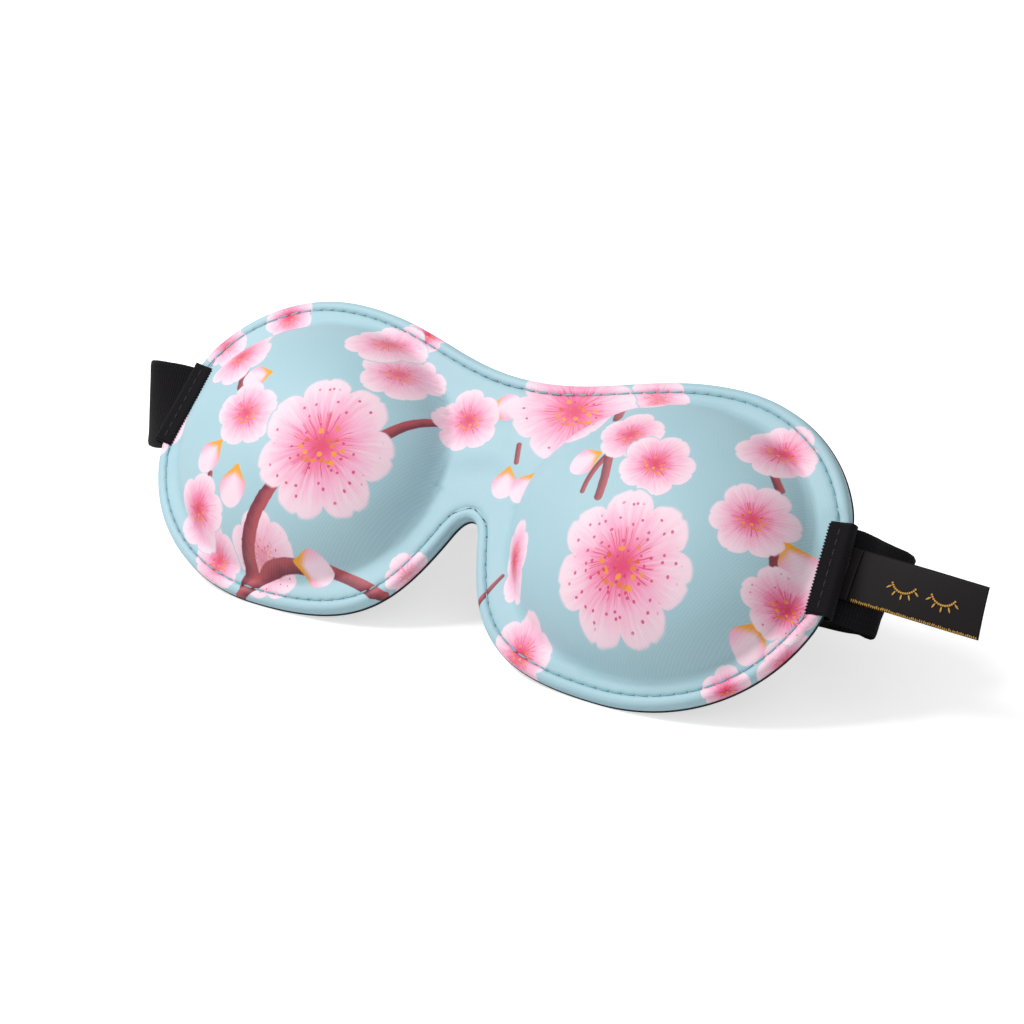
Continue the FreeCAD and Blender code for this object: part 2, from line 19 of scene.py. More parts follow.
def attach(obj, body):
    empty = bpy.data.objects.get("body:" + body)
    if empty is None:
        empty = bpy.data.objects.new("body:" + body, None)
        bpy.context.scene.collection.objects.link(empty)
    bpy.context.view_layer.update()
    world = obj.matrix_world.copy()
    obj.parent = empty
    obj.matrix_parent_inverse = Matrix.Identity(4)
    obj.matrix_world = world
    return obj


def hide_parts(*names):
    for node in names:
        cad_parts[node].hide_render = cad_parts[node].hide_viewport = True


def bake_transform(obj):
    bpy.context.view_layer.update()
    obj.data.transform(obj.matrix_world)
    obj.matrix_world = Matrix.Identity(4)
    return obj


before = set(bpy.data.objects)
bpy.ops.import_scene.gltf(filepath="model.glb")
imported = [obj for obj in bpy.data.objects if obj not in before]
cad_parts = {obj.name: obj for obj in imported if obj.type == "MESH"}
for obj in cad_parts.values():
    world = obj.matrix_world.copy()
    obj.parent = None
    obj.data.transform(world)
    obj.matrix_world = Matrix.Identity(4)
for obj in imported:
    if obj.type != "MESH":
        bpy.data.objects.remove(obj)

LOG = logging.getLogger("sleep_mask")
MM = 0.001
REST_ANGLE = math.radians(48.4)
REST_LIFT = 1.163
MASK_PLACE = Matrix.Translation((0, 0, REST_LIFT)) @ Matrix.Rotation(REST_ANGLE, 4, "X")
CLOTH = "cloth"
Place = Callable[[int, int], tuple[Vector, tuple[float, float, float]]]


# ---------------------------------------------------------------- frames and colours

def on_mask(u: float, v: float, w: float) -> Vector:
    """A point of the mask's frame, in the row frame."""
    return MASK_PLACE @ Vector((u, v, w))


def along_mask(u: float, v: float, w: float) -> Vector:
    """A direction of the mask's frame, in the row frame."""
    return MASK_PLACE.to_3x3() @ Vector((u, v, w))


def tint(red: int, green: int, blue: int) -> tuple[float, float, float, float]:
    """A screen colour as the linear colour that the shaders use.

    Args:
        red: 0 to 255.
        green: 0 to 255.
        blue: 0 to 255.

    Returns:
        Linear red, green, blue and an alpha of 1.
    """
    linear = [(c / 255 / 12.92) if c <= 10 else ((c / 255 + 0.055) / 1.055) ** 2.4 for c in (red, green, blue)]
    return (*linear, 1.0)


def smooth_step(low: float, high: float, value: float) -> float:
    """0 before low, 1 after high, and a smooth turn between."""
    share = min(max((value - low) / (high - low), 0.0), 1.0)
    return share * share * (3 - 2 * share)


def smooth_max(first: float, second: float, reach: float) -> float:
    """The larger of two heights, with a fillet where they are within reach of each other."""
    share = max(reach - abs(first - second), 0.0) / reach
    return max(first, second) + share * share * reach / 4


# ---------------------------------------------------------------- shader maths

class Socket:
    """An output of a shader node, with Python's arithmetic."""

    def __init__(self, nodes: "Nodes", node: bpy.types.Node, output: int | str = 0) -> None:
        """Keeps the node and which of its outputs is meant."""
        self.nodes = nodes
        self.node = node
        self.socket = node.outputs[output]

    def out(self, output: int | str) -> "Socket":
        """Another output of the same node."""
        return Socket(self.nodes, self.node, output)

    def __add__(self, other: Any) -> "Socket":
        """Sum."""
        return self.nodes.maths("ADD", self, other)

    def __sub__(self, other: Any) -> "Socket":
        """Difference."""
        return self.nodes.maths("SUBTRACT", self, other)

    def __rsub__(self, other: Any) -> "Socket":
        """Reflected difference."""
        return self.nodes.maths("SUBTRACT", other, self)

    def __mul__(self, other: Any) -> "Socket":
        """Product."""
        return self.nodes.maths("MULTIPLY", self, other)

    def __truediv__(self, other: Any) -> "Socket":
        """Quotient."""
        return self.nodes.maths("DIVIDE", self, other)

    def __pow__(self, other: Any) -> "Socket":
        """Power."""
        return self.nodes.maths("POWER", self, other)

    def __abs__(self) -> "Socket":
        """Size without its sign."""
        return self.nodes.maths("ABSOLUTE", self, 0.0)

    __radd__ = __add__
    __rmul__ = __mul__


class Nodes:
    """A node tree that is built by calls."""

    def __init__(self, tree: bpy.types.NodeTree) -> None:
        """Keeps the tree, emptied."""
        self.tree = tree
        tree.nodes.clear()

    def node(self, kind: str, settings: dict[str, Any] | None = None, values: dict[Any, Any] | None = None,
             output: int | str = 0) -> Socket:
        """Adds any node.

        Args:
            kind: the node's type, without "ShaderNode" before it.
            settings: the node's own properties; stops are a colour ramp's.
            values: numbers, colours or sockets for its inputs, by name or place.
            output: the output that the result stands for.

        Returns:
            That output.
        """
        made = self.tree.nodes.new(kind if kind.startswith("Node") else "ShaderNode" + kind)
        for name, value in (settings or {}).items():
            if name == "stops":
                while len(made.color_ramp.elements) < len(value):
                    made.color_ramp.elements.new(1.0)
                for element, (position, colour) in zip(made.color_ramp.elements, value):
                    element.position, element.color = position, colour
            else:
                setattr(made, name, value)
        for key, value in (values or {}).items():
            if isinstance(value, Socket):
                self.tree.links.new(value.socket, made.inputs[key])
            else:
                made.inputs[key].default_value = value
        return Socket(self, made, output) if made.outputs else made

    def maths(self, operation: str, first: Any, second: Any = 0.0, third: Any = 0.0) -> Socket:
        """One Math node."""
        return self.node("Math", {"operation": operation}, {0: first, 1: second, 2: third})

    def vector(self, operation: str, first: Any, second: Any = (0, 0, 0), output: int = 0) -> Socket:
        """One Vector Math node."""
        return self.node("VectorMath", {"operation": operation}, {0: first, 1: second}, output)

    def step(self, low: Any, high: Any, value: Any) -> Socket:
        """A smooth step of a value between two limits."""
        return self.node("MapRange", {"interpolation_type": "SMOOTHSTEP"}, {0: value, 1: low, 2: high})

    def mix(self, factor: Any, first: Any, second: Any, blend: str = "MIX") -> Socket:
        """One colour over another."""
        return self.node("Mix", {"data_type": "RGBA", "blend_type": blend}, {0: factor, 6: first, 7: second}, 2)

    def choose(self, factor: Any, first: Any, second: Any) -> Socket:
        """One vector or another."""
        return self.node("Mix", {"data_type": "VECTOR"}, {0: factor, 4: first, 5: second}, 1)

    def split(self, value: Socket) -> tuple[Socket, Socket, Socket]:
        """The three parts of a vector."""
        made = self.node("SeparateXYZ", values={0: value})
        return made, made.out(1), made.out(2)

    def join(self, x: Any, y: Any, z: Any = 0.0) -> Socket:
        """A vector from three parts."""
        return self.node("CombineXYZ", values={0: x, 1: y, 2: z})

    def noise(self, where: Socket, scale: float, detail: float = 2.0) -> Socket:
        """Soft noise from 0 to 1."""
        return self.node("TexNoise", values={"Vector": where, "Scale": scale, "Detail": detail})

    def cells(self, where: Socket, scale: float) -> tuple[Socket, Socket]:
        """Distance to the nearest scattered point, and that point's own random colour."""
        made = self.node("TexVoronoi", {"voronoi_dimensions": "2D"}, {"Vector": where, "Scale": scale})
        return made, made.out("Color")

    def wave(self, value: Socket, pitch: float) -> Socket:
        """A ridge every pitch, from 0 to 1."""
        return self.maths("SINE", value * (2 * math.pi / pitch)) * 0.5 + 0.5


class Group(Nodes):
    """A node group with named inputs and outputs."""

    def __init__(self, name: str, takes: dict[str, str], gives: dict[str, str]) -> None:
        """Makes the group's sockets.

        Args:
            name: the group's name.
            takes: input names to socket kinds, such as "Float".
            gives: output names to socket kinds.
        """
        super().__init__(bpy.data.node_groups.new(name, "ShaderNodeTree"))
        for way, sockets in (("INPUT", takes), ("OUTPUT", gives)):
            for label, kind in sockets.items():
                self.tree.interface.new_socket(label, in_out=way, socket_type="NodeSocket" + kind)
        self.source = self.node("NodeGroupInput")
        self.gives = gives

    def take(self, name: str) -> Socket:
        """One of the group's inputs."""
        return self.source.out(name)

    def give(self, values: dict[str, Socket]) -> None:
        """Sets the group's outputs."""
        self.node("NodeGroupOutput", values=values)

    def use(self, nodes: Nodes, values: dict[str, Any], output: str) -> Socket:
        """Places the group in another tree."""
        return nodes.node("Group", {"node_tree": self.tree}, values, output)


# ---------------------------------------------------------------- printed blossom pattern

class Side(Enum):
    """A side of the mask."""

    LEFT = -1
    RIGHT = 1


@dataclass(frozen=True)
class Blossom:
    """One printed blossom.

    u and v place its middle, radius is to the petal tips, turn is in degrees, wide and tall stretch
    it, deep is how strong its middle is, and specks is the share of its crimson specks.
    """

    u: float
    v: float
    radius: float
    petals: int = 5
    turn: float = 0.0
    wide: float = 1.0
    tall: float = 1.0
    deep: float = 0.8
    specks: float = 0.0

    def reach(self, side: int) -> float:
        """How far it reaches past the middle line towards a side."""
        return self.u * side + self.radius * 1.2


@dataclass(frozen=True)
class Twig:
    """One printed stretch of branch, from one point to another, with its two half widths and its bow."""

    start: tuple[float, float]
    end: tuple[float, float]
    first: float
    last: float
    bow: float = 0.0

    def reach(self, side: int) -> float:
        """How far it reaches past the middle line towards a side."""
        return max(self.start[0] * side, self.end[0] * side) + 3.0


@dataclass(frozen=True)
class Bud:
    """One printed bud: pale petals on an orange base that points along turn, in degrees."""

    u: float
    v: float
    radius: float
    turn: float

    def reach(self, side: int) -> float:
        """How far it reaches past the middle line towards a side."""
        return self.u * side + self.radius * 1.2


BLOSSOMS = (
    Blossom(-52.4, 11.0, 10.4, 5, 30, deep=0.30, specks=0.35), Blossom(-11.0, 18.5, 7.0, 5, 0, deep=0.25),
    Blossom(40.5, 82.5, 9.5, 5, 0, tall=0.65, deep=0.45), Blossom(-109, 42, 12.0, 5, 0, wide=0.7, deep=0.1, specks=0.4),
    Blossom(-99, 69, 7.0, 5, 20, deep=0.5), Blossom(105, 22, 9.0, 5, 0, deep=0.9),
    Blossom(-70, 7.6, 8.6, 5, 20, deep=0.75), Blossom(-76.8, 17.8, 9.2, 5, 0, wide=1.2, deep=1.0),
    Blossom(-67.2, 45.3, 9.8, 5, 35, deep=0.85), Blossom(-82.1, 62.6, 10.6, 5, 10, deep=0.85),
    Blossom(-82, 81.2, 7.8, 5, 60, deep=0.9), Blossom(-36, 85.6, 7.0, 5, 15, tall=0.85, deep=1.0),
    Blossom(-32.4, 69.2, 10.0, 5, 20, tall=0.85, deep=0.6), Blossom(-42.8, 78.4, 10.2, 5, 0, tall=0.84, deep=0.6),
    Blossom(-12, 64.1, 9.3, 5, 40, deep=0.85),
    Blossom(-40.4, 42.2, 20.0, 7, 8, wide=0.94, deep=0.95, specks=0.5),
    Blossom(17.8, 73.6, 19.0, 6, 25, tall=0.8, deep=0.9, specks=0.2),
    Blossom(46.7, 65.7, 9.6, 5, 30, tall=0.82, deep=0.75), Blossom(58.4, 59.0, 10.6, 5, 0, tall=0.85, deep=1.0),
    Blossom(60, 31.2, 20.0, 7, 0, wide=0.94, deep=0.9, specks=0.8),
    Blossom(23.3, 27.9, 10.0, 5, 90, wide=0.6, deep=0.9),
    Blossom(31.2, 6.4, 10.6, 5, 10, wide=0.85, deep=0.9), Blossom(82.1, 74.6, 9.0, 5, 0, tall=1.05, deep=0.85),
    Blossom(86.7, 52.8, 10.2, 6, 15, wide=0.95, deep=0.85), Blossom(98.8, 35.6, 9.0, 6, 0, deep=1.2, specks=0.2),
    Blossom(90.6, 11.6, 7.0, 5, 40, deep=1.0),
)
TWIGS = (
    Twig((-49.5, 31), (-53.5, 21), 1.9, 1.9), Twig((-34, 13.1), (-15.5, 10.2), 1.4, 1.9, 0.8),
    Twig((-28, 45.5), (-18.2, 61.2), 1.6, 1.0, 1.0),
    Twig((-77, 62), (-73.5, 52.5), 1.2, 1.3), Twig((-72.7, 27), (-72.2, 23), 0.9, 0.9),
    Twig((5.8, 61), (7.4, 56), 0.7, 0.7), Twig((12, 12.5), (17, 25), 0.8, 0.5, 0.4),
    Twig((31, 79.5), (38, 71), 1.6, 1.4), Twig((44, 59), (41.3, 47.4), 0.9, 0.7, -0.8),
    Twig((44, 59), (46.6, 47), 1.3, 1.2, 0.5), Twig((84.5, 67.5), (88.4, 63.2), 0.8, 0.9),
    Twig((92.5, 52), (97, 41), 2.0, 2.1),
)
BUDS = (
    Bud(-69.5, 56.4, 4.8, 30), Bud(-63.5, 25.4, 5.8, 90), Bud(-74.5, 32.0, 5.4, 60),
    Bud(-2.6, 70.2, 5.0, 200), Bud(6.2, 49.8, 4.8, 95), Bud(12.6, 49.8, 4.8, 70), Bud(38, 55.9, 5.0, 40),
    Bud(93, 24.4, 5.4, 80), Bud(98.4, 47.2, 5.6, 140),
)

FRONT_TWIGS = (
    Twig((-52.4, 24.6), (-58.1, 3.5), 1.9, 2.4, -0.8), Twig((-60, -1.5), (-41.3, 11.5), 1.8, 1.5, 2.9),
)
FRONT_BUDS = (Bud(-37.6, 12.0, 5.2, 180),)


@dataclass(frozen=True)
class BlossomPrint:
    """The all-over blossom print, drawn on the cloth's own flat coordinates."""

    ground: tuple[float, float, float, float] = tint(168, 202, 212)
    bark: tuple[float, float, float, float] = tint(122, 50, 66)
    bark_light: tuple[float, float, float, float] = tint(176, 84, 92)
    petal_rim: tuple[float, float, float, float] = tint(247, 220, 231)
    petal_mid: tuple[float, float, float, float] = tint(243, 178, 205)
    petal_core: tuple[float, float, float, float] = tint(235, 100, 152)
    heart: tuple[float, float, float, float] = tint(216, 48, 92)
    pollen: tuple[float, float, float, float] = tint(240, 168, 48)
    speck: tuple[float, float, float, float] = tint(208, 54, 110)

    def edge_of(self, nodes: Nodes, spot: Socket, petals: Any) -> tuple[Socket, Socket, Socket]:
        """How far a point lies inside a blossom's outline.

        Args:
            nodes: the tree.
            spot: the point, from the blossom's middle in radii.
            petals: how many petals.

        Returns:
            The share of the way out to the outline, the distance from the middle, and the place
            across the petal from -1 to 1.
        """
        x, y, _ = nodes.split(spot)
        out = nodes.vector("LENGTH", spot, output=1)
        turns = nodes.maths("ARCTAN2", y, x) * petals * (0.5 / math.pi)
        across = (turns - nodes.maths("ROUND", turns)) * 2.0
        lobe = nodes.maths("SQRT", 1.0 - across * across * 0.97)
        rim = 0.74 + lobe * 0.26 - nodes.step(0.14, 0.0, abs(across)) * 0.035
        return out / rim, out, across

    def placer(self) -> Group:
        """The group that takes a blossom's local point where the blossom covers the cloth."""
        group = Group("blossom_place", {"Cloth": "Vector", "Wobble": "Vector", "Spot": "Vector", "Facts": "Vector",
                                        "Middle": "Vector", "Stretch": "Vector", "Turn": "Float", "Own": "Vector"},
                      {"Spot": "Vector", "Facts": "Vector"})
        moved = group.vector("SUBTRACT", group.take("Cloth"), group.take("Middle"))
        moved = group.vector("MULTIPLY", moved, group.take("Stretch"))
        moved = group.node("VectorRotate", {"rotation_type": "Z_AXIS"}, {"Vector": moved, "Angle": group.take("Turn")})
        moved = group.vector("ADD", moved, group.take("Wobble"))
        share, _, _ = self.edge_of(group, moved, group.split(group.take("Own"))[0])
        outside = group.maths("GREATER_THAN", share, 1.03)
        group.give({"Spot": group.choose(outside, moved, group.take("Spot")),
                    "Facts": group.choose(outside, group.take("Own"), group.take("Facts"))})
        return group

    @staticmethod
    def own_values(flower: Blossom, flat: Socket, wobble: Socket) -> dict[str, Any]:
        """What a group needs to know of one blossom."""
        return {"Cloth": flat, "Wobble": wobble, "Middle": (flower.u, flower.v, 0),
                "Stretch": (1 / flower.radius / flower.wide, 1 / flower.radius / flower.tall, 0),
                "Turn": -math.radians(flower.turn), "Own": (flower.petals, flower.deep, flower.specks)}

    def stroke(self) -> Group:
        """The group that paints one twig."""
        group = Group("twig", {"Under": "Color", "Cloth": "Vector", "Start": "Vector", "Along": "Vector",
                               "Shape": "Vector", "Grain": "Float"}, {"Colour": "Color"})
        first, last, bow = group.split(group.take("Shape"))
        along = group.take("Along")
        local = group.vector("SUBTRACT", group.take("Cloth"), group.take("Start"))
        length = group.vector("LENGTH", along, output=1)
        ahead = group.vector("NORMALIZE", along)
        step = group.vector("DOT_PRODUCT", local, ahead, 1) / length
        part = group.node("Clamp", values={0: step})
        ahead_x, ahead_y, _ = group.split(ahead)
        side = group.vector("DOT_PRODUCT", local, group.join(0.0 - ahead_y, ahead_x), 1)
        side = side - bow * part * (1.0 - part) * 4.0
        past = (step - part) * length
        gap = group.maths("SQRT", side * side + past * past)
        half = (first + (last - first) * part) * (0.88 + group.take("Grain") * 0.24)
        bare = group.step(half - 0.12, half + 0.22, gap)
        lit = group.step(-0.9, 0.7, side / half + group.take("Grain") - 0.5)
        group.give({"Colour": group.mix(bare, group.mix(lit, self.bark, self.bark_light), group.take("Under"))})
        return group

    def calyx(self) -> Group:
        """The group that paints one bud."""
        group = Group("bud", {"Under": "Color", "Cloth": "Vector", "Wobble": "Vector", "Middle": "Vector",
                              "Stretch": "Vector", "Turn": "Float"}, {"Colour": "Color"})
        moved = group.vector("SUBTRACT", group.take("Cloth"), group.take("Middle"))
        moved = group.vector("MULTIPLY", moved, group.take("Stretch"))
        moved = group.node("VectorRotate", {"rotation_type": "Z_AXIS"}, {"Vector": moved, "Angle": group.take("Turn")})
        moved = group.vector("ADD", moved, group.take("Wobble"))
        x, y, _ = group.split(moved)
        width = 0.78 - group.step(0.0, 1.0, x) * 0.5
        round_out = group.vector("LENGTH", group.join(x, y / width), output=1)
        bare = group.step(0.94, 1.04, round_out)
        petal = group.mix(group.step(0.1, 0.8, abs(y) + x * 0.5), self.petal_rim, self.petal_mid)
        base = group.step(0.35, 0.75, x + abs(y) * 0.5)
        group.give({"Colour": group.mix(bare, group.mix(base, petal, self.pollen), group.take("Under"))})
        return group

    def petals(self, nodes: Nodes, spot: Socket, facts: Socket, under: Socket) -> Socket:
        """Paints the blossom whose local point and facts are given.

        Args:
            nodes: the tree.
            spot: the point, from the blossom's middle in radii.
            facts: petals, depth of the middle and share of specks.
            under: the colour where no blossom is.

        Returns:
            The colour.
        """
        count, deep, specks = nodes.split(facts)
        share, out, across = self.edge_of(nodes, spot, count)
        bare = nodes.step(0.97, 1.03, share)
        ray = nodes.vector("NORMALIZE", spot)
        ray_x, ray_y, _ = nodes.split(ray)
        veins = nodes.noise(nodes.join(ray_x * 5.5, ray_y * 5.5, out * 0.7 + deep * 9.0), 2.4, 3.0)
        strength = nodes.maths("MINIMUM", deep, 1.0)
        reach = out + (veins - 0.5) * 0.62 * nodes.step(0.05, 0.45, out)
        colour = nodes.mix(nodes.step(1.0, 0.42, reach) * (0.35 + strength * 0.65), self.petal_rim, self.petal_mid)
        colour = nodes.mix(nodes.step(0.62, 0.14, reach) * strength, colour, self.petal_core)
        fold = nodes.step(0.62, 1.0, abs(across)) * nodes.step(0.25, 0.6, out) * 0.55
        colour = nodes.mix(fold, colour, self.petal_mid)
        tip = nodes.step(0.75, 0.97, share) * 0.6
        colour = nodes.mix(tip, colour, self.petal_rim)
        colour = nodes.mix(nodes.step(0.27, 0.03, reach) * strength * 0.85, colour, self.heart)
        thread = nodes.noise(nodes.join(ray_x * 9.0, ray_y * 9.0, deep * 5.0), 2.6, 0.0)
        filament = nodes.step(0.60, 0.68, thread) * nodes.step(0.5, 0.42, out) * nodes.step(0.03, 0.1, out)
        colour = nodes.mix(filament * 0.75, colour, self.heart)
        gap, own = nodes.cells(spot, 9.5)
        own_x, own_y, _ = nodes.split(own)
        ring = nodes.step(0.43, 0.36, out + own_x * 0.1) * nodes.step(0.06, 0.13, out)
        anther = nodes.step(0.44, 0.30, gap) * nodes.step(0.45, 0.55, own_y) * ring
        colour = nodes.mix(anther * (0.3 + strength * 0.7), colour, nodes.mix(own_x, self.pollen, tint(214, 92, 52)))
        gap, own = nodes.cells(spot, 6.4)
        own_x, own_y, _ = nodes.split(own)
        dot = nodes.step(0.17, 0.10, gap) * nodes.maths("LESS_THAN", own_x, specks) * nodes.step(0.9, 0.8, share)
        colour = nodes.mix(dot * 0.85, colour, self.speck)
        return nodes.mix(bare, colour, under)

    def paint(self, nodes: Nodes, cloth: Socket, side: Side) -> Socket:
        """Paints the print of one half of the cloth.

        Args:
            nodes: the tree.
            cloth: the flat cloth coordinates.
            side: which half.

        Returns:
            The print's colour.
        """
        flat = nodes.vector("MULTIPLY", cloth, (1, 1, 0))
        soft = nodes.noise(flat, 0.09, 3.0)
        wobble = nodes.vector("MULTIPLY", nodes.vector("SUBTRACT", soft.out("Color"), (0.5, 0.5, 0.5)), (0.16, 0.16, 0))
        grain = nodes.noise(flat, 0.45, 2.0)
        shade = nodes.mix(nodes.step(0.3, 0.7, nodes.noise(flat, 0.022)), self.ground, tint(175, 207, 216))
        stroke, placer, calyx = self.stroke(), self.placer(), self.calyx()
        colour = shade

        def branches(twigs: Sequence[Twig], buds: Sequence[Bud], under: Socket) -> Socket:
            """Paints some twigs and then some buds."""
            for twig in twigs:
                way = (twig.end[0] - twig.start[0], twig.end[1] - twig.start[1], 0)
                under = stroke.use(nodes, {"Under": under, "Cloth": flat, "Start": (*twig.start, 0), "Along": way,
                                           "Shape": (twig.first, twig.last, twig.bow), "Grain": grain}, "Colour")
            for bud in buds:
                under = calyx.use(nodes, {"Under": under, "Cloth": flat, "Wobble": wobble,
                                          "Middle": (bud.u, bud.v, 0), "Stretch": (1 / bud.radius, 1 / bud.radius, 0),
                                          "Turn": -math.radians(bud.turn)}, "Colour")
            return under

        def near(motifs: Sequence[Any]) -> list[Any]:
            """The motifs that reach this half."""
            return [motif for motif in motifs if motif.reach(side.value) > 0]

        colour = branches(near(TWIGS), near(BUDS), colour)
        spot: Any = (9.0, 9.0, 0.0)
        facts: Any = (5.0, 0.5, 0.0)
        for flower in near(BLOSSOMS):
            values = self.own_values(flower, flat, wobble)
            spot = placer.use(nodes, {"Spot": spot, "Facts": facts, **values}, "Spot")
            facts = spot.out("Facts")
        colour = self.petals(nodes, spot, facts, colour)
        return branches(near(FRONT_TWIGS), near(FRONT_BUDS), colour)


# ---------------------------------------------------------------- finishes

def new_material(name: str) -> tuple[bpy.types.Material, Nodes]:
    """An empty material and its node tree."""
    material = bpy.data.materials.new(name)
    material.use_nodes = True
    return material, Nodes(material.node_tree)


def surface(nodes: Nodes, colour: Any, roughness: Any, height: Socket | None, depth: float,
            fixed: dict[str, Any] | None = None) -> None:
    """Ends a material in one Principled shader.

    Args:
        nodes: the tree.
        colour: base colour.
        roughness: number or socket.
        height: bump height from 0 to 1, or None.
        depth: the bump's height in metres.
        fixed: uniform values for the shader's other sockets.
    """
    values = {"Base Color": colour, "Roughness": roughness, **(fixed or {})}
    if height is not None:
        values["Normal"] = nodes.node("Bump", values={"Strength": 1.0, "Distance": depth, "Height": height})
    shader = nodes.node("BsdfPrincipled", values=values)
    nodes.node("OutputMaterial", values={"Surface": shader})


@dataclass(frozen=True)
class PrintedSatin:
    """Satin with a steep twill, printed all over."""

    pitch: float = 0.7
    lean: float = 62.0
    depth: float = 0.00004
    roughness: float = 0.52
    print_of: BlossomPrint = field(default_factory=BlossomPrint)

    def make(self, side: Side) -> bpy.types.Material:
        """Builds the material of one half of the cloth."""
        material, nodes = new_material(f"printed_satin_{side.name.lower()}")
        cloth = nodes.node("Attribute", {"attribute_name": CLOTH}, output="Vector")
        u, v, _ = nodes.split(cloth)
        lean = math.radians(self.lean)
        across = u * math.sin(lean) - v * math.cos(lean)
        along = u * math.cos(lean) + v * math.sin(lean)
        drift = nodes.noise(cloth, 0.35)
        ridge = nodes.wave(across + drift * 0.5, self.pitch)
        yarn = nodes.wave(along + across * 0.5, self.pitch * 1.3)
        weave = ridge * 0.75 + yarn * 0.25
        creases = nodes.noise(cloth, 0.05, 1.0)
        colour = self.print_of.paint(nodes, cloth, side)
        # Painted shade: the print is darkened, multiplied with itself, in the twill's grooves where weave is low.
        colour = nodes.mix((1.0 - weave) * 0.20, colour, nodes.mix(1.0, colour, colour, "MULTIPLY"))
        surface(nodes, colour, weave * -0.10 + self.roughness + 0.05, weave * 0.22 + creases * 0.8, self.depth * 2.0,
                {"Specular IOR Level": 0.35, "Sheen Weight": 0.10, "Sheen Roughness": 0.4})
        return material


@dataclass(frozen=True)
class RibbedBlack:
    """Black ribbed narrow cloth, such as grosgrain tape or elastic.

    The cloth's second coordinate counts along the ribs' repeat, the first across.
    """

    name: str
    pitch: float
    cross_pitch: float
    depth: float
    colour: tuple[float, float, float, float] = tint(4, 4, 5)
    # Painted highlight colour of the rib crests; colour is the grooves' painted shade.
    light: tuple[float, float, float, float] = tint(23, 19, 24)
    edge: float = 99.0

    def make(self) -> bpy.types.Material:
        """Builds the material."""
        material, nodes = new_material(self.name)
        cloth = nodes.node("Attribute", {"attribute_name": CLOTH}, output="Vector")
        across, along, _ = nodes.split(cloth)
        drift = nodes.noise(cloth, 0.8) * 0.12
        rib = nodes.wave(along + drift, self.pitch)
        yarn = nodes.wave(across + nodes.maths("FLOOR", along / self.pitch) * (self.cross_pitch / 2), self.cross_pitch)
        lane = nodes.step(self.edge - 0.3, self.edge + 0.2, abs(across)) * nodes.wave(abs(across), 1.5)
        height = rib * (0.62 + yarn * 0.38) * (1.0 - lane * 0.6)
        fuzz = nodes.noise(cloth, 3.1, 3.0)
        # Painted light: the rib crests are painted lighter and the grooves darker by height; fuzz adds random tone.
        colour = nodes.mix(height * 0.7 + fuzz * 0.25, self.colour, self.light)
        surface(nodes, colour, 0.72 + fuzz * 0.12, height + fuzz * 0.25, self.depth,
                {"Specular IOR Level": 0.12, "Sheen Weight": 0.01, "Sheen Roughness": 0.5})
        return material


@dataclass(frozen=True)
class KnitLining:
    """Matt black knit of the inner skin."""

    pitch: float = 0.9

    def make(self) -> bpy.types.Material:
        """Builds the material."""
        material, nodes = new_material("black_lining")
        cloth = nodes.node("Attribute", {"attribute_name": CLOTH}, output="Vector")
        u, v, _ = nodes.split(cloth)
        row = nodes.wave(v, self.pitch)
        stitch = nodes.wave(u + (row - 0.5) * 0.35, self.pitch * 0.8)
        fuzz = nodes.noise(cloth, 2.4, 3.0)
        patch = nodes.noise(cloth, 0.05)
        height = row * 0.45 + stitch * 0.55
        # Painted light: the knit's raised loops are painted lighter and its hollows darker by height; fuzz and patch
        # add random tone.
        colour = nodes.mix(height * 0.55 + fuzz * 0.3 + patch * 0.2, tint(12, 12, 14), tint(34, 34, 38))
        surface(nodes, colour, 0.85 + fuzz * 0.08, height + fuzz * 0.4, 0.00008,
                {"Specular IOR Level": 0.25, "Sheen Weight": 0.2, "Sheen Roughness": 0.6})
        return material


@dataclass(frozen=True)
class OpenFoam:
    """Moulded open-cell foam."""

    def make(self) -> bpy.types.Material:
        """Builds the material."""
        material, nodes = new_material("foam")
        where = nodes.node("TexCoord", output="Object")
        bubbles = nodes.node("TexVoronoi", values={"Vector": where, "Scale": 1800.0})
        cells = nodes.noise(where, 900.0, 3.0)
        # Painted shade: the foam's cell pits, low in the bump, are painted darker; cells add random tone.
        colour = nodes.mix(bubbles * 0.6 + cells * 0.3, tint(205, 203, 194), tint(238, 236, 229))
        surface(nodes, colour, 0.92, bubbles + cells * 0.3, 0.0002, {"Specular IOR Level": 0.2})
        return material


@dataclass(frozen=True)
class TwistedThread:
    """Sewing thread; the cloth's second coordinate runs along it, and past sunk it goes down a needle hole, where it is
    painted with the hole's shade.
    """

    name: str
    colour: tuple[float, float, float, float]
    # Painted highlight colour of the twist's ridges.
    light: tuple[float, float, float, float]
    roughness: float = 0.45
    pitch: float = 0.5
    sunk: float = 99.0
    # Painted shade of the needle hole at each end of a stitch.
    needle_hole_shade: tuple[float, float, float, float] = tint(24, 52, 64)

    def make(self) -> bpy.types.Material:
        """Builds the material."""
        material, nodes = new_material(self.name)
        cloth = nodes.node("Attribute", {"attribute_name": CLOTH}, output="Vector")
        round_it, along, _ = nodes.split(cloth)
        strand = nodes.wave(along + round_it, self.pitch)
        fuzz = nodes.noise(cloth, 2.2, 2.0)
        # Painted highlight: the twist's ridges are painted in the light colour; fuzz adds random tone.
        colour = nodes.mix(strand * 0.75 + fuzz * 0.25, self.colour, self.light)
        # Painted shade: past sunk the thread is painted dark, as the shade of the needle hole that it goes down.
        colour = nodes.mix(nodes.step(self.sunk, self.sunk + 0.3, abs(along)), colour, self.needle_hole_shade)
        surface(nodes, colour, self.roughness + fuzz * 0.15, strand + fuzz * 0.3, 0.00006, {"Sheen Weight": 0.1})
        return material


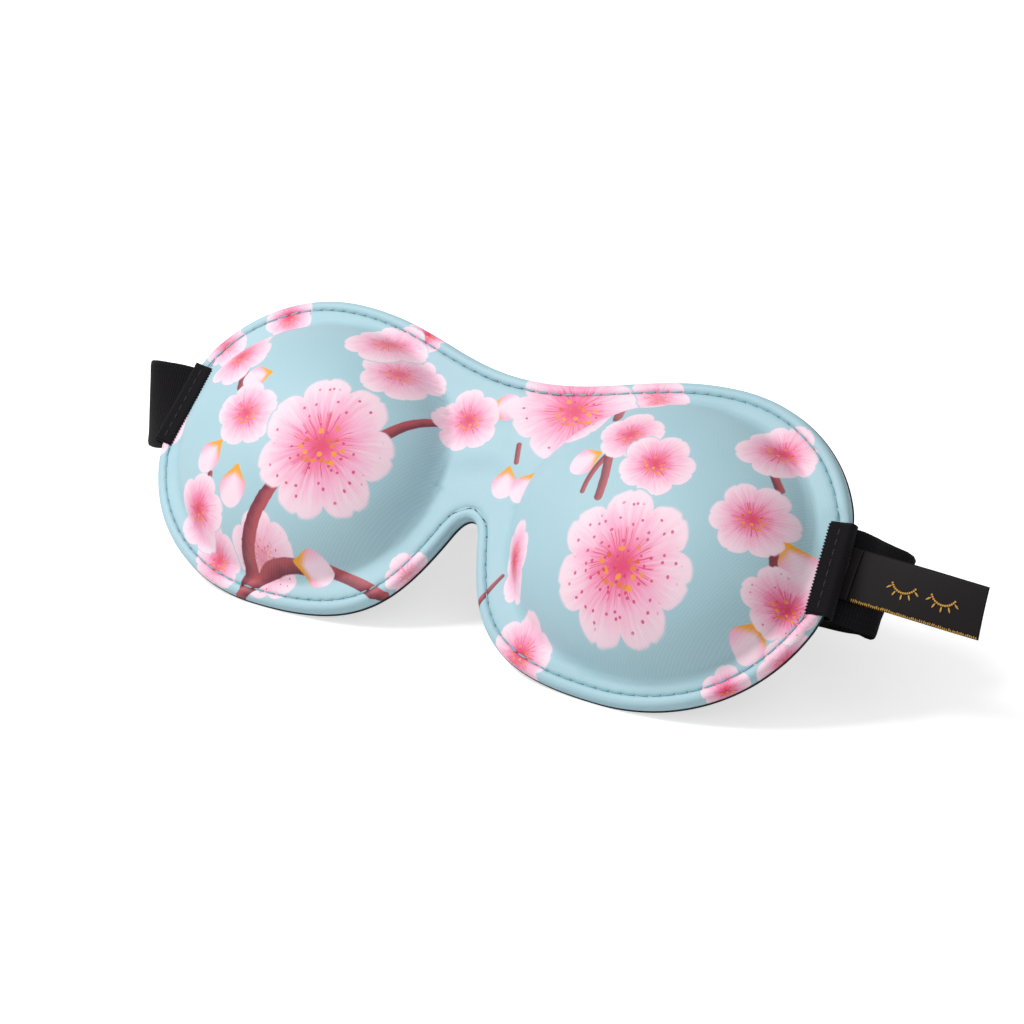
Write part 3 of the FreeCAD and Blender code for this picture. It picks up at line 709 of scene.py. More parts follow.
@dataclass(frozen=True)
class LabelSatin:
    """Warm black label satin with fine lengthwise floats."""

    def make(self) -> bpy.types.Material:
        """Builds the material."""
        material, nodes = new_material("black_label")
        cloth = nodes.node("Attribute", {"attribute_name": CLOTH}, output="Vector")
        across, along, _ = nodes.split(cloth)
        line = nodes.wave(along, 0.42)
        tie = nodes.wave(across + nodes.maths("FLOOR", along / 0.42) * 0.2, 0.55)
        fuzz = nodes.noise(cloth, 2.0, 3.0)
        height = line * (0.7 + tie * 0.3)
        # Painted highlight: the satin's raised floats are painted lighter and the gaps darker by height; fuzz adds
        # random tone.
        colour = nodes.mix(height * 0.6 + fuzz * 0.3, tint(11, 7, 8), tint(30, 23, 25))
        surface(nodes, colour, 0.5 + fuzz * 0.15, height + fuzz * 0.2, 0.00004,
                {"Specular IOR Level": 0.16, "Sheen Weight": 0.01})
        return material


@dataclass(frozen=True)
class MouldedPlastic:
    """Black moulded plastic with a fine spark-eroded grain."""

    def make(self) -> bpy.types.Material:
        """Builds the material."""
        material, nodes = new_material("black_plastic")
        where = nodes.node("TexCoord", output="Object")
        grain = nodes.noise(where, 4200.0, 2.0)
        wear = nodes.noise(where, 160.0, 3.0)
        colour = nodes.mix(wear * 0.6 + grain * 0.2, tint(24, 24, 26), tint(42, 42, 45))
        surface(nodes, colour, 0.30 + grain * 0.12 + wear * 0.1, grain, 0.00003, {"Specular IOR Level": 0.5})
        return material


# ---------------------------------------------------------------- mesh making

def bent_grid(columns: int, rows: int, place: Place) -> bmesh.types.BMesh:
    """A grid whose corners are set by a rule.

    Args:
        columns: faces one way.
        rows: faces the other way.
        place: gives the position and cloth coordinates of a corner from its column and row.

    Returns:
        The new mesh.
    """
    mesh = bmesh.new()
    bmesh.ops.create_grid(mesh, x_segments=columns, y_segments=rows, size=0.5)
    layer = mesh.verts.layers.float_vector.new(CLOTH)
    for vert in mesh.verts:
        column, row = round((vert.co.x + 0.5) * columns), round((vert.co.y + 0.5) * rows)
        vert.co, vert[layer] = place(column, row)
    return mesh


def mirrored(mesh: bmesh.types.BMesh) -> None:
    """Adds the other half of a mesh across u = 0 and sews the two."""
    layer = mesh.verts.layers.float_vector[CLOTH]
    copy = bmesh.ops.duplicate(mesh, geom=mesh.verts[:] + mesh.edges[:] + mesh.faces[:])["geom"]
    verts = [item for item in copy if isinstance(item, bmesh.types.BMVert)]
    bmesh.ops.scale(mesh, vec=(-1, 1, 1), verts=verts)
    for vert in verts:
        vert[layer].x *= -1
    bmesh.ops.reverse_faces(mesh, faces=[item for item in copy if isinstance(item, bmesh.types.BMFace)])
    bmesh.ops.remove_doubles(mesh, verts=mesh.verts, dist=0.002)


def joined(meshes: Sequence[bmesh.types.BMesh]) -> bmesh.types.BMesh:
    """Several meshes as one; the others are freed."""
    first = meshes[0]
    for mesh in meshes[1:]:
        data = bpy.data.meshes.new("part")
        mesh.to_mesh(data)
        mesh.free()
        first.from_mesh(data)
        bpy.data.meshes.remove(data)
    return first


def capsule(mesh: bmesh.types.BMesh, start: Vector, end: Vector, radius: float, flat: float = 1.0,
            up: Vector | None = None) -> None:
    """Adds one short length of thread.

    Args:
        mesh: the mesh that takes it.
        start: its first end.
        end: its other end.
        radius: half its thickness.
        flat: how much it is flattened along up.
        up: the direction in which it is flattened.
    """
    layer = mesh.verts.layers.float_vector[CLOTH]
    axis = end - start
    side = axis.cross(up or Vector((0, 0, 1))).normalized()
    rise = side.cross(axis).normalized()
    turn = Matrix((side * radius, rise * radius * flat, axis * 0.5)).transposed().to_4x4()
    made = bmesh.ops.create_uvsphere(mesh, u_segments=6, v_segments=5, radius=1.0)["verts"]
    for vert in made:
        vert[layer] = (math.atan2(vert.co.y, vert.co.x) * 0.2, vert.co.z * axis.length / 2, 0)
        square = 1 - vert.co.z ** 4
        vert.co.x, vert.co.y = vert.co.x * (0.6 + 0.4 * square), vert.co.y * (0.6 + 0.4 * square)
    bmesh.ops.transform(mesh, matrix=Matrix.Translation((start + end) / 2) @ turn, verts=made)


def thread_mesh() -> bmesh.types.BMesh:
    """An empty mesh that can take stitches."""
    mesh = bmesh.new()
    mesh.verts.layers.float_vector.new(CLOTH)
    return mesh


def make_piece(mesh: bmesh.types.BMesh, name: str, material: bpy.types.Material, matrix: Matrix = MASK_PLACE,
               outward: bool = False) -> bpy.types.Object:
    """Turns a mesh in millimetres into a finished object in metres.

    Args:
        mesh: the mesh, which is freed.
        name: the object's name.
        material: its finish.
        matrix: from the mesh's own frame to the row frame.
        outward: whether the normals are worked out anew.

    Returns:
        The object, at the origin.
    """
    bmesh.ops.transform(mesh, matrix=Matrix.Scale(MM, 4) @ matrix, verts=mesh.verts)
    if outward:
        bmesh.ops.recalc_face_normals(mesh, faces=mesh.faces)
    data = bpy.data.meshes.new(name)
    mesh.to_mesh(data)
    mesh.free()
    data.shade_smooth()
    data.materials.append(material)
    piece = bpy.data.objects.new(name, data)
    bpy.context.scene.collection.objects.link(piece)
    LOG.info("%s: %d faces", name, len(data.polygons))
    return piece


def thicken(piece: bpy.types.Object, thickness: float) -> None:
    """Gives a skin its thickness, inwards."""
    wall = piece.modifiers.new("wall", "SOLIDIFY")
    wall.thickness = thickness * MM
    wall.offset = -1.0
    wall.use_even_offset = False


# ---------------------------------------------------------------- moulded shell

@dataclass(frozen=True)
class Dome:
    """One size of the two eye domes."""

    half_length: float
    half_height: float
    depth: float
    foot: float
    offset: float = 56.5
    rise: float = 45.0

    def height(self, u: float, v: float, base: float) -> float:
        """Height of the surface over a point, given the rim's own height there."""
        out = math.hypot((abs(u) - self.offset) / self.half_length, (v - self.rise) / self.half_height)
        if out < 1:
            crown = self.depth * (1 - out ** 2.7) ** 0.62
        else:
            crown = self.depth * 3.0 * (1 - out)
        return smooth_max(base, crown, self.foot)


@dataclass
class MaskShape:
    """The mask's edge and the sheets that follow it."""

    half_width: float = 108.0
    widest_height: float = 48.5
    brow_offset: float = 61.7
    brow_height: float = 90.2
    saddle_height: float = 79.8
    cheek_offset: float = 55.6
    flank_offset: float = 5.1
    flank_height: float = 31.5
    notch_height: float = 37.9
    stitches: int = 73
    per_stitch: int = 4
    seam_inset: float = 3.2
    flat_inset: float = 6.2
    middle_steps: int = 22
    rings: int = 36
    edge: list[Vector] = field(default_factory=list)
    inward: list[Vector] = field(default_factory=list)

    def __post_init__(self) -> None:
        """Works out the right half of the edge, evenly spaced, and its inward direction."""
        shoulder, hip = self.half_width - self.brow_offset, self.half_width - self.cheek_offset
        flank, cheek = self.flank_offset, self.cheek_offset
        poles = [(0, self.saddle_height), (0.39 * self.brow_offset, self.saddle_height),
                 (0.58 * self.brow_offset, self.brow_height), (self.brow_offset, self.brow_height),
                 (self.brow_offset + 0.57 * shoulder, self.brow_height),
                 (self.half_width, self.widest_height + 0.53 * (self.brow_height - self.widest_height)),
                 (self.half_width, self.widest_height), (self.half_width, 0.40 * self.widest_height),
                 (cheek + 0.57 * hip, 0), (cheek, 0), (0.40 * cheek, 0),
                 (flank + 0.17 * (cheek - flank), 0.28 * self.flank_height), (flank, self.flank_height),
                 (0.88 * flank, self.flank_height + 0.25 * (self.notch_height - self.flank_height)),
                 (0.60 * flank, self.notch_height), (0, self.notch_height)]
        share = np.linspace(0, 1, 161)[:, None]
        spans = []
        for start in range(0, 15, 3):
            a, b, c, d = (np.array(pole, float) for pole in poles[start:start + 4])
            spans.append(a * (1 - share) ** 3 + 3 * b * share * (1 - share) ** 2
                         + 3 * c * share ** 2 * (1 - share) + d * share ** 3)
        path = np.concatenate([span[:-1] for span in spans] + [spans[-1][-1:]])
        run = np.concatenate([[0], np.cumsum(np.linalg.norm(np.diff(path, axis=0), axis=1))])
        even = np.linspace(0, run[-1], self.columns + 1)
        at = np.stack([np.interp(even, run, path[:, axis]) for axis in (0, 1)], 1)
        ahead = np.gradient(at, axis=0)
        ahead[0], ahead[-1] = (1, 0), (-1, 0)
        ahead /= np.linalg.norm(ahead, axis=1)[:, None]
        self.edge = [Vector((x, y, 0)) for x, y in at]
        self.inward = [Vector((y, -x, 0)) for x, y in ahead]

    @property
    def columns(self) -> int:
        """Steps along the half edge."""
        return self.stitches * self.per_stitch

    def cut(self, turning: float) -> dict[str, Any]:
        """The flat cloth that a skin is cut from before it is moulded.

        Args:
            turning: cloth beyond the edge, all round.
        """
        half = sum(a.cross(b).z for a, b in zip(self.edge[1:], self.edge)) / 2
        edge = sum((b - a).length for a, b in zip(self.edge, self.edge[1:]))
        return {"flat": ((self.brow_height + 2 * turning) * MM, 2 * (self.half_width + turning) * MM),
                "area": 2 * (abs(half) + edge * turning) * MM * MM}

    def inset(self, column: int, depth: float) -> Vector:
        """The point of the cloth a way in from the edge."""
        spot = self.edge[column] + self.inward[column] * depth
        spot.x = 0.0 if column in (0, self.columns) else max(spot.x, 0.0)
        return spot

    def sheet(self, profile: Sequence[tuple[float, float, float]], dome: Dome, puckers: float,
              relief: Callable[[float, float], float] | None = None, squeeze: float = 0.38) -> bmesh.types.BMesh:
        """A skin of the whole mask.

        Args:
            profile: rim stations from the edge inwards: inset, height, and cloth beyond the edge.
            dome: the eye domes that rise from it.
            puckers: how deep each needle hole pulls the cloth in.
            relief: small extra height over a point.
            squeeze: share of its height that it loses where the bindings hold it.

        Returns:
            The mesh, in the mask's frame, facing the front.
        """
        centre = Vector((dome.offset, dome.rise, 0))

        def height(u: float, v: float, base: float) -> float:
            """Height of the skin over a point."""
            return dome.height(u, v, base) + (relief(u, v) if relief else 0.0)

        def pressed(spot: Vector) -> Vector:
            """The rim is pressed thin where the bindings hold it."""
            held = smooth_step(96, 103, abs(spot.x)) * (1 - smooth_step(12, 17, abs(spot.y - 49.5)))
            spot.z *= 1 - squeeze * held
            return spot

        def rim(column: int, row: int) -> tuple[Vector, tuple[float, float, float]]:
            """A corner of the strip beside the edge."""
            depth, base, beyond = profile[row]
            spot = self.inset(column, depth)
            flat = self.edge[column] - self.inward[column] * beyond if beyond else spot
            pull = puckers * math.exp(-((depth - self.seam_inset) / 0.35) ** 2)
            spot.z = height(spot.x, spot.y, base) if depth > self.seam_inset else base
            spot.z -= pull * (1.0 if column % self.per_stitch == 0 else 0.0)
            return pressed(spot), (flat.x, flat.y, 0)

        def inner(column: int, row: int) -> tuple[Vector, tuple[float, float, float]]:
            """A corner of the field inside the strip, on a spoke towards the dome's middle."""
            if column <= self.columns:
                outer = self.inset(column, self.flat_inset)
            else:
                share = (column - self.columns) / self.middle_steps
                low, high = self.notch_height + self.flat_inset, self.saddle_height - self.flat_inset
                outer = Vector((0, low + (high - low) * share, 0))
            share = row / self.rings
            spot = outer.lerp(centre, 1 - (1 - share) ** 1.25)
            return pressed(Vector((spot.x, spot.y, height(spot.x, spot.y, profile[-1][1])))), (spot.x, spot.y, 0)

        strip = bent_grid(self.columns, len(profile) - 1, rim)
        field_mesh = bent_grid(self.columns + self.middle_steps, self.rings, inner)
        whole = joined([strip, field_mesh])
        bmesh.ops.remove_doubles(whole, verts=whole.verts, dist=0.002)
        bmesh.ops.reverse_faces(whole, faces=whole.faces)
        mirrored(whole)
        return whole

    def seam(self, level: float, radius: float, material: bpy.types.Material, name: str) -> bpy.types.Object:
        """The lockstitch round the mask, one short thread from hole to hole.

        Args:
            level: height of the thread above the mask's middle plane.
            radius: half its thickness.
            material: its finish.
            name: the piece's name.

        Returns:
            The piece.
        """
        mesh = thread_mesh()
        dice = random.Random(name)
        facing = Vector((0, 0, 1 if level > 0 else -1))
        for number in range(self.stitches):
            start = self.inset(number * self.per_stitch, self.seam_inset)
            end = self.inset((number + 1) * self.per_stitch, self.seam_inset)
            lean = (end - start).cross(facing).normalized() * dice.uniform(-0.10, 0.14)
            first, last = start.lerp(end, 0.05) - lean, start.lerp(end, 0.95) + lean
            if start.x > 101 and abs(start.y - 49.5) < 12:
                continue
            for sign in (1, -1):
                ends = [Vector((spot.x * sign, spot.y, level)) for spot in (first, last)]
                capsule(mesh, ends[0], ends[1], radius, 0.8, facing)
        return make_piece(mesh, name, material, outward=True)


@dataclass
class Shell:
    """Front cover, foam and lining, with the seam that holds them."""

    shape: MaskShape
    cover: Dome = Dome(43.0, 38.0, 22.0, 4.0)
    foam: Dome = Dome(42.1, 37.1, 21.1, 3.6)
    lining: Dome = Dome(38.2, 33.2, 17.2, 3.0)
    cover_wall: float = 0.5
    foam_wall: float = 1.4
    lining_wall: float = 0.6
    cover_pucker: float = 0.42
    lining_pucker: float = -0.2
    foam_squeeze: float = 0.15
    COVER_RIM = (
        (0.80, -1.30, 3.6), (0.35, -1.40, 3.2), (0.08, -1.15, 2.9), (-0.03, -0.70, 2.4), (-0.03, -0.20, 1.9),
        (0.05, 0.22, 1.5), (0.30, 0.52, 1.1), (0.22, 0.82, 0.8), (0.32, 1.20, 0.4), (0.60, 1.58, 0.0),
        (1.00, 1.84, 0.0), (1.50, 1.97, 0.0), (2.10, 1.96, 0.0), (2.60, 1.86, 0.0), (2.90, 1.74, 0.0),
        (3.08, 1.64, 0.0), (3.20, 1.58, 0.0), (3.34, 1.65, 0.0), (3.60, 1.80, 0.0), (4.10, 1.95, 0.0),
        (4.90, 2.04, 0.0), (6.20, 2.06, 0.0),
    )
    LINING_RIM = (
        (0.70, 1.05, 1.2), (0.05, 1.30, 0.8), (-0.22, 1.50, 0.5), (-0.20, 1.72, 0.3), (0.15, 1.88, 0.15),
        (0.70, 1.93, 0.0), (1.50, 2.00, 0.0), (2.60, 1.96, 0.0), (3.00, 1.76, 0.0), (3.20, 1.66, 0.0),
        (3.40, 1.78, 0.0), (4.10, 1.96, 0.0), (6.20, 2.00, 0.0),
    )
    FOAM_RIM = (
        (0.95, 0.45, 0.0), (1.3, 0.95, 0.0), (2.4, 1.1, 0.0), (3.2, 0.65, 0.0), (4.0, 1.0, 0.0), (6.2, 1.1, 0.0),
    )

    @staticmethod
    def drape(u: float, v: float) -> float:
        """Faint pulls of the satin between the domes and beside the seam."""
        valley = math.exp(-(u / 15) ** 2) * smooth_step(40, 52, v)
        pull = 0.30 * valley * math.cos((v - 58) * 0.45 + abs(u) * 0.12)
        ripple = 0.10 * math.sin(u * 0.19 + v * 0.11) * math.sin(u * 0.07 - v * 0.23)
        return pull + ripple

    def build(self, satin: dict[Side, bpy.types.Material], foam: bpy.types.Material, knit: bpy.types.Material,
              thread: bpy.types.Material) -> None:
        """Builds and dresses the shell's pieces.

        Args:
            satin: finish of each half of the cover.
            foam: finish of the foam.
            knit: finish of the lining.
            thread: finish of the lockstitch.
        """
        skin = self.shape.sheet(self.COVER_RIM, self.cover, self.cover_pucker, self.drape)
        cover = make_piece(skin, "cover_satin", satin[Side.RIGHT])
        cover.data.materials.append(satin[Side.LEFT])
        for face in cover.data.polygons:
            face.material_index = int(face.center.x < 0)
        thicken(cover, self.cover_wall)
        block = self.shape.sheet(self.FOAM_RIM, self.foam, 0.0, squeeze=self.foam_squeeze)
        core = make_piece(block, "foam_core_pad", foam)
        thicken(core, self.foam_wall)
        lining = make_piece(self.lining_mesh(), "lining_knit", knit)
        thicken(lining, self.lining_wall)
        front = self.shape.seam(1.74, 0.31, thread, "rim_stitches_front")
        rear = self.shape.seam(-1.84, 0.24, thread, "rim_stitches_rear")
        for piece, node, slot in ((cover, "front_cover", "printed_satin"), (core, "foam_core", "foam"),
                                  (lining, "rear_lining", "black_lining"), (front, "rim_seam_front", "teal_thread"),
                                  (rear, "rim_seam_rear", "teal_thread")):
            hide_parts(node)
            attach(piece, "mask")
        for piece, stitches, rim in ((cover, front, self.COVER_RIM), (lining, rear, self.LINING_RIM)):
            cut = self.shape.cut(rim[0][2])

    def lining_mesh(self) -> bmesh.types.BMesh:
        """The inner skin: rim towards the face, and a cup behind each dome."""
        rim = [(depth, -level, beyond) for depth, level, beyond in self.LINING_RIM]
        mesh = self.shape.sheet(rim, self.lining, self.lining_pucker)
        bmesh.ops.reverse_faces(mesh, faces=mesh.faces)
        return mesh


# ---------------------------------------------------------------- bindings

@dataclass
class Binding:
    """Ribbed tape folded over one end of the mask, with its row of stitches."""

    side: Side
    edge: float = 108.0
    rise: float = 49.5
    tilt: float = 6.0
    width: float = 25.0
    depth: float = 6.5
    rib_pitch: float = 0.86
    steps_per_rib: int = 6
    wall: float = 0.5
    PATH = ((-6.5, 1.55), (-6.25, 1.78), (-5.0, 1.86), (-3.6, 1.80), (-2.4, 1.86), (-1.5, 2.00), (-1.0, 2.06),
            (-0.5, 1.92), (-0.05, 1.5), (0.25, 1.0), (0.4, 0.3), (0.35, -0.5), (0.1, -1.3), (-0.5, -2.1), (-1.3, -2.8),
            (-2.4, -3.05), (-3.8, -3.05), (-5.4, -3.02), (-6.4, -2.9))

    @property
    def place(self) -> Matrix:
        """From the tape's own frame to the row frame."""
        sign = self.side.value
        middle = Matrix.Translation((sign * self.edge, self.rise, 0))
        return MASK_PLACE @ middle @ Matrix.Rotation(math.radians(sign * self.tilt), 4, "Z")

    def build(self, cloth: bpy.types.Material, thread: bpy.types.Material) -> None:
        """Builds the tape and its stitches."""
        side = self.side.name.lower()
        sign = self.side.value
        ribs = round(self.width / self.rib_pitch)
        rows = ribs * self.steps_per_rib
        run = [0.0]
        for first, second in zip(self.PATH, self.PATH[1:]):
            run.append(run[-1] + math.dist(first, second))

        def spot(column: int, row: int) -> tuple[Vector, tuple[float, float, float]]:
            """A corner of the tape."""
            u, w = self.PATH[column]
            v = (row / rows - 0.5) * self.width
            rib = math.cos(row / self.steps_per_rib * 2 * math.pi)
            picot = 0.22 * rib if column in (0, len(self.PATH) - 1) else 0.0
            swell = 0.09 * rib
            away = math.copysign(1.0, w) if abs(u) > 0.8 and u < 0 else 0.0
            sag = 0.12 * math.sin(v * 0.55 + w)
            end = 0.35 * smooth_step(self.width / 2 - 0.8, self.width / 2, abs(v))
            place = Vector(((u - picot + (0.0 if away else swell) + 0.04 * sag) * sign, v, w + away * (swell - end)))
            return place, (run[column], v, 0)

        mesh = bent_grid(len(self.PATH) - 1, rows, spot)
        if sign < 0:
            bmesh.ops.reverse_faces(mesh, faces=mesh.faces)
        tape = make_piece(mesh, f"binding_tape_{side}", cloth, self.place)
        thicken(tape, self.wall)
        stitches = thread_mesh()
        for number in range(8):
            v = (number - 3.5) * 2.8
            capsule(stitches, Vector((-3.3 * sign, v - 1.1, 1.84)), Vector((-3.2 * sign, v + 1.1, 1.84)), 0.24, 0.8)
        seam = make_piece(stitches, f"binding_stitches_{side}", thread, self.place, outward=True)
        for piece, node, slot in ((tape, f"binding_{side}", "black_grosgrain"),
                                  (seam, f"binding_seam_{side}", "black_thread")):
            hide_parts(node)
            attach(piece, "mask")


# ---------------------------------------------------------------- straps

def spline(points: Sequence[Vector], spacing: float) -> list[Vector]:
    """Points at an even spacing on a smooth curve through some others.

    Args:
        points: the points it passes.
        spacing: the distance between the results.

    Returns:
        The points.
    """
    knots = np.concatenate([[0], np.cumsum([(b - a).length for a, b in zip(points, points[1:])])])
    values = np.array([tuple(p) for p in points])
    count = len(points)
    gaps = np.diff(knots)
    system = np.eye(count)
    right = np.zeros((count, 3))
    for i in range(1, count - 1):
        system[i, i - 1:i + 2] = gaps[i - 1], 2 * (gaps[i - 1] + gaps[i]), gaps[i]
        right[i] = 6 * ((values[i + 1] - values[i]) / gaps[i] - (values[i] - values[i - 1]) / gaps[i - 1])
    bend = np.linalg.solve(system, right)
    found = []
    for mark in np.linspace(0, knots[-1], max(int(knots[-1] / spacing), 2) + 1):
        leg = min(int(np.searchsorted(knots, mark, "right")) - 1, count - 2)
        h, a, b = gaps[leg], knots[leg + 1] - mark, mark - knots[leg]
        found.append(Vector((bend[leg] * a ** 3 + bend[leg + 1] * b ** 3) / (6 * h)
                            + (values[leg] / h - bend[leg] * h / 6) * a
                            + (values[leg + 1] / h - bend[leg + 1] * h / 6) * b))
    return found


@dataclass
class Band:
    """A woven band swept along a path of points and the directions across it."""

    width: float = 25.0
    thickness: float = 1.15
    PROFILE = (
        (-0.5, 0.0), (-0.485, 0.32), (-0.44, 0.5), (-0.3, 0.46), (-0.1, 0.5), (0.1, 0.5), (0.3, 0.46), (0.44, 0.5),
        (0.485, 0.32), (0.5, 0.0), (0.485, -0.32), (0.44, -0.5), (0.3, -0.46), (0.1, -0.5), (-0.1, -0.5),
        (-0.3, -0.46), (-0.44, -0.5), (-0.485, -0.32),
    )

    def sweep(self, centres: Sequence[Vector], acrosses: Sequence[Vector]) -> bmesh.types.BMesh:
        """The band's mesh.

        Args:
            centres: the middle of each section.
            acrosses: the direction across the band at each.

        Returns:
            A closed mesh in the row frame.
        """
        loop = len(self.PROFILE)
        run = [0.0]
        for first, second in zip(centres, centres[1:]):
            run.append(run[-1] + (second - first).length)
        sides = []
        for number, across in enumerate(acrosses):
            ahead = centres[min(number + 1, len(centres) - 1)] - centres[max(number - 1, 0)]
            normal = across.cross(ahead).normalized()
            sides.append((ahead.cross(normal).normalized(), normal))

        def spot(column: int, row: int) -> tuple[Vector, tuple[float, float, float]]:
            """A corner of the band's skin."""
            wide, thick = self.PROFILE[column % loop]
            across, normal = sides[row]
            place = centres[row] + across * (wide * self.width) + normal * (thick * self.thickness)
            return place, (wide * self.width, run[row], 0)

        mesh = bent_grid(loop, len(centres) - 1, spot)
        bmesh.ops.remove_doubles(mesh, verts=mesh.verts, dist=0.001)
        bmesh.ops.holes_fill(mesh, edges=[edge for edge in mesh.edges if edge.is_boundary], sides=0)
        return mesh


def spread(stations: Sequence[tuple[Vector, Vector]], spacing: float) -> tuple[list[Vector], list[Vector]]:
    """A smooth path through stations, with the direction across it turned from station to station."""
    centres = spline([centre for centre, _ in stations], spacing)
    knots = [0.0]
    for (first, _), (second, _) in zip(stations, stations[1:]):
        knots.append(knots[-1] + (second - first).length)
    acrosses = []
    for number in range(len(centres)):
        mark = knots[-1] * number / (len(centres) - 1)
        leg = max(index for index in range(len(knots) - 1) if index == 0 or knots[index] < mark)
        share = (mark - knots[leg]) / (knots[leg + 1] - knots[leg])
        acrosses.append((stations[leg][1] * (1 - share) + stations[leg + 1][1] * share).normalized())
    return centres, acrosses


@dataclass
class HeadStrap:
    """The elastic head strap with its ring and slider."""

    band: Band = field(default_factory=Band)
    rear: float = 90.0
    rise: float = 15.5
    ring: float = -22.0
    ring_bar: float = 4.0
    slider: float = 14.0
    slider_bar: float = 8.9
    wrap: float = 2.53
    layer: float = 1.3
    under: float = 2.0
    over: float = 4.13
    spacing: float = 1.1
    UP = Vector((0, 0, 1))

    def spot(self, x: float, y: float) -> Vector:
        """A point of the strap's path behind the mask, y from the hardware's middle plane."""
        return Vector((x, self.rear + y, self.rise))

    def turn(self, bar: float, start: float, end: float, steps: int = 9) -> list[Vector]:
        """The strap's wrap round a bar, from one angle to another in degrees."""
        angles = [math.radians(start + (end - start) * step / (steps - 1)) for step in range(steps)]
        return [self.spot(bar + self.wrap * math.cos(a), self.wrap * math.sin(a)) for a in angles]

    def upright(self, points: Sequence[Vector]) -> tuple[list[Vector], list[Vector]]:
        """A path with even, close points that stands upright, its corners eased."""
        centres = [points[0]]
        for first, second in zip(points, points[1:]):
            steps = max(round((second - first).length / self.spacing), 1)
            centres += [first.lerp(second, step / steps) for step in range(1, steps + 1)]
        for _ in range(3):
            inner = [(a + b * 2 + c) / 4 for a, b, c in zip(centres, centres[1:], centres[2:])]
            centres = [centres[0], *inner, centres[-1]]
        return centres, [self.UP] * len(centres)

    def right_side(self) -> tuple[list[Vector], list[Vector]]:
        """Out from the right binding, folded back and inward to the run behind the mask."""
        mask_up, fold = along_mask(0, 1, 0), along_mask(0, 0.932, -0.36)
        rise, edge, back = 50.3, 108.0, -5.0

        def between(share: float) -> Vector:
            """A direction part of the way from the mask's to the fold's."""
            return (mask_up * (1 - share) + fold * share).normalized()

        def lifted(share: float) -> Vector:
            """A direction part of the way from the fold's to upright."""
            return (fold * (1 - share) + self.UP * share).normalized()

        return spread([
            (on_mask(edge - 6, rise, back - 0.4), mask_up), (on_mask(edge - 1.5, rise, back - 0.8), mask_up),
            (on_mask(edge + 1.5, rise, back - 2.4), between(0.2)),
            (on_mask(edge + 3.4, rise + 0.4, back - 5.6), between(0.6)),
            (on_mask(edge + 5.4, rise + 1, back - 9.8), fold), (on_mask(edge + 5.9, rise + 1, back - 12.6), fold),
            (on_mask(edge + 4.0, rise + 1, back - 15.0), fold), (Vector((98, 53, 24.5)), lifted(0.25)),
            (Vector((82, 63, 20.5)), lifted(0.55)), (Vector((65, 76, 17.0)), lifted(0.85)),
            (self.spot(50, -self.under - 3), self.UP), (self.spot(40, -self.under), self.UP)], self.spacing)

    def left_side(self) -> tuple[list[Vector], list[Vector]]:
        """Out from the left binding and round to the run behind the mask, then round the ring's bar."""
        mask_up = along_mask(0, 1, 0)
        rise, edge, back = 49.5, 108.0, -4.0

        def lifted(share: float) -> Vector:
            """A direction part of the way from the mask's to upright."""
            return (mask_up * (1 - share) + self.UP * share).normalized()

        centres, acrosses = spread([
            (on_mask(-edge + 6, rise, back), mask_up), (on_mask(-edge - 0.5, rise, back - 0.2), mask_up),
            (Vector((-115, 35.6, 35.0)), lifted(0.4)), (Vector((-120.3, 36.6, 34.0)), lifted(0.7)),
            (Vector((-124.4, 40.2, 32.4)), lifted(0.9)), (Vector((-125.6, 46.5, 29.8)), self.UP),
            (Vector((-122.5, 54.5, 26.0)), self.UP), (Vector((-114.5, 63, 22.0)), self.UP),
            (Vector((-102, 72, 18.8)), self.UP), (Vector((-85, 81.5, 16.4)), self.UP),
            (self.spot(-66, -1.5), self.UP), (self.spot(-50, self.layer / 2), self.UP)], self.spacing)
        bar = self.ring - self.ring_bar
        near = bar - 8.0
        loop = [self.spot(-50, self.layer / 2), self.spot(near, self.layer / 2), *self.turn(bar, 98, -98),
                self.spot(near, -self.layer / 2), self.spot(near - 10, -self.layer / 2)]
        more, up = self.upright(loop)
        return centres + more[1:], acrosses + up[1:]

    def rear_paths(self) -> tuple[list[Vector], list[Vector]]:
        """The run beside the slider, and the one through it, round the ring and back to its middle bar."""
        middle, bar = self.slider, self.ring + self.ring_bar
        foot, beyond = self.slider_bar - 1.9, self.slider_bar + 2.2
        inner = foot - self.layer
        tail = inner + 10.0
        beside = [self.spot(40, -self.under), self.spot(25, -self.under)]
        through = [self.spot(25, -self.under), self.spot(middle + foot, -self.under),
                   self.spot(middle + 2.4, self.over),
                   self.spot(middle - 2.4, self.over), self.spot(middle - foot, -self.under),
                   self.spot(middle - beyond, -self.under), *self.turn(bar, 62, 262, 13)]
        low = -self.under - 2 * self.layer
        through += [self.spot(middle - tail, low), self.spot(middle - inner, low), *self.turn(middle, -118, 110, 11),
                    self.spot(middle - inner, -self.under - self.layer),
                    self.spot(middle - tail, -self.under - self.layer)]
        return beside, through

    def frame_piece(self, name: str, bars: Sequence[float], plastic: bpy.types.Material, height: float = 31.0,
                    bar: float = 2.4, depth: float = 2.2) -> bpy.types.Object:
        """A moulded frame with an opening between each two bars.

        Args:
            name: the piece's name.
            bars: the outer and inner sides of the bars, in order.
            plastic: its finish.
            height: its height.
            bar: thickness of its top and bottom.
            depth: its thickness.

        Returns:
            The piece.
        """
        levels = (0.0, bar, height - bar, height)

        def corner(column: int, row: int) -> tuple[Vector, tuple[float, float, float]]:
            """A corner of the frame's front."""
            return Vector((bars[column], self.rear - depth / 2, levels[row])), (bars[column], levels[row], 0)

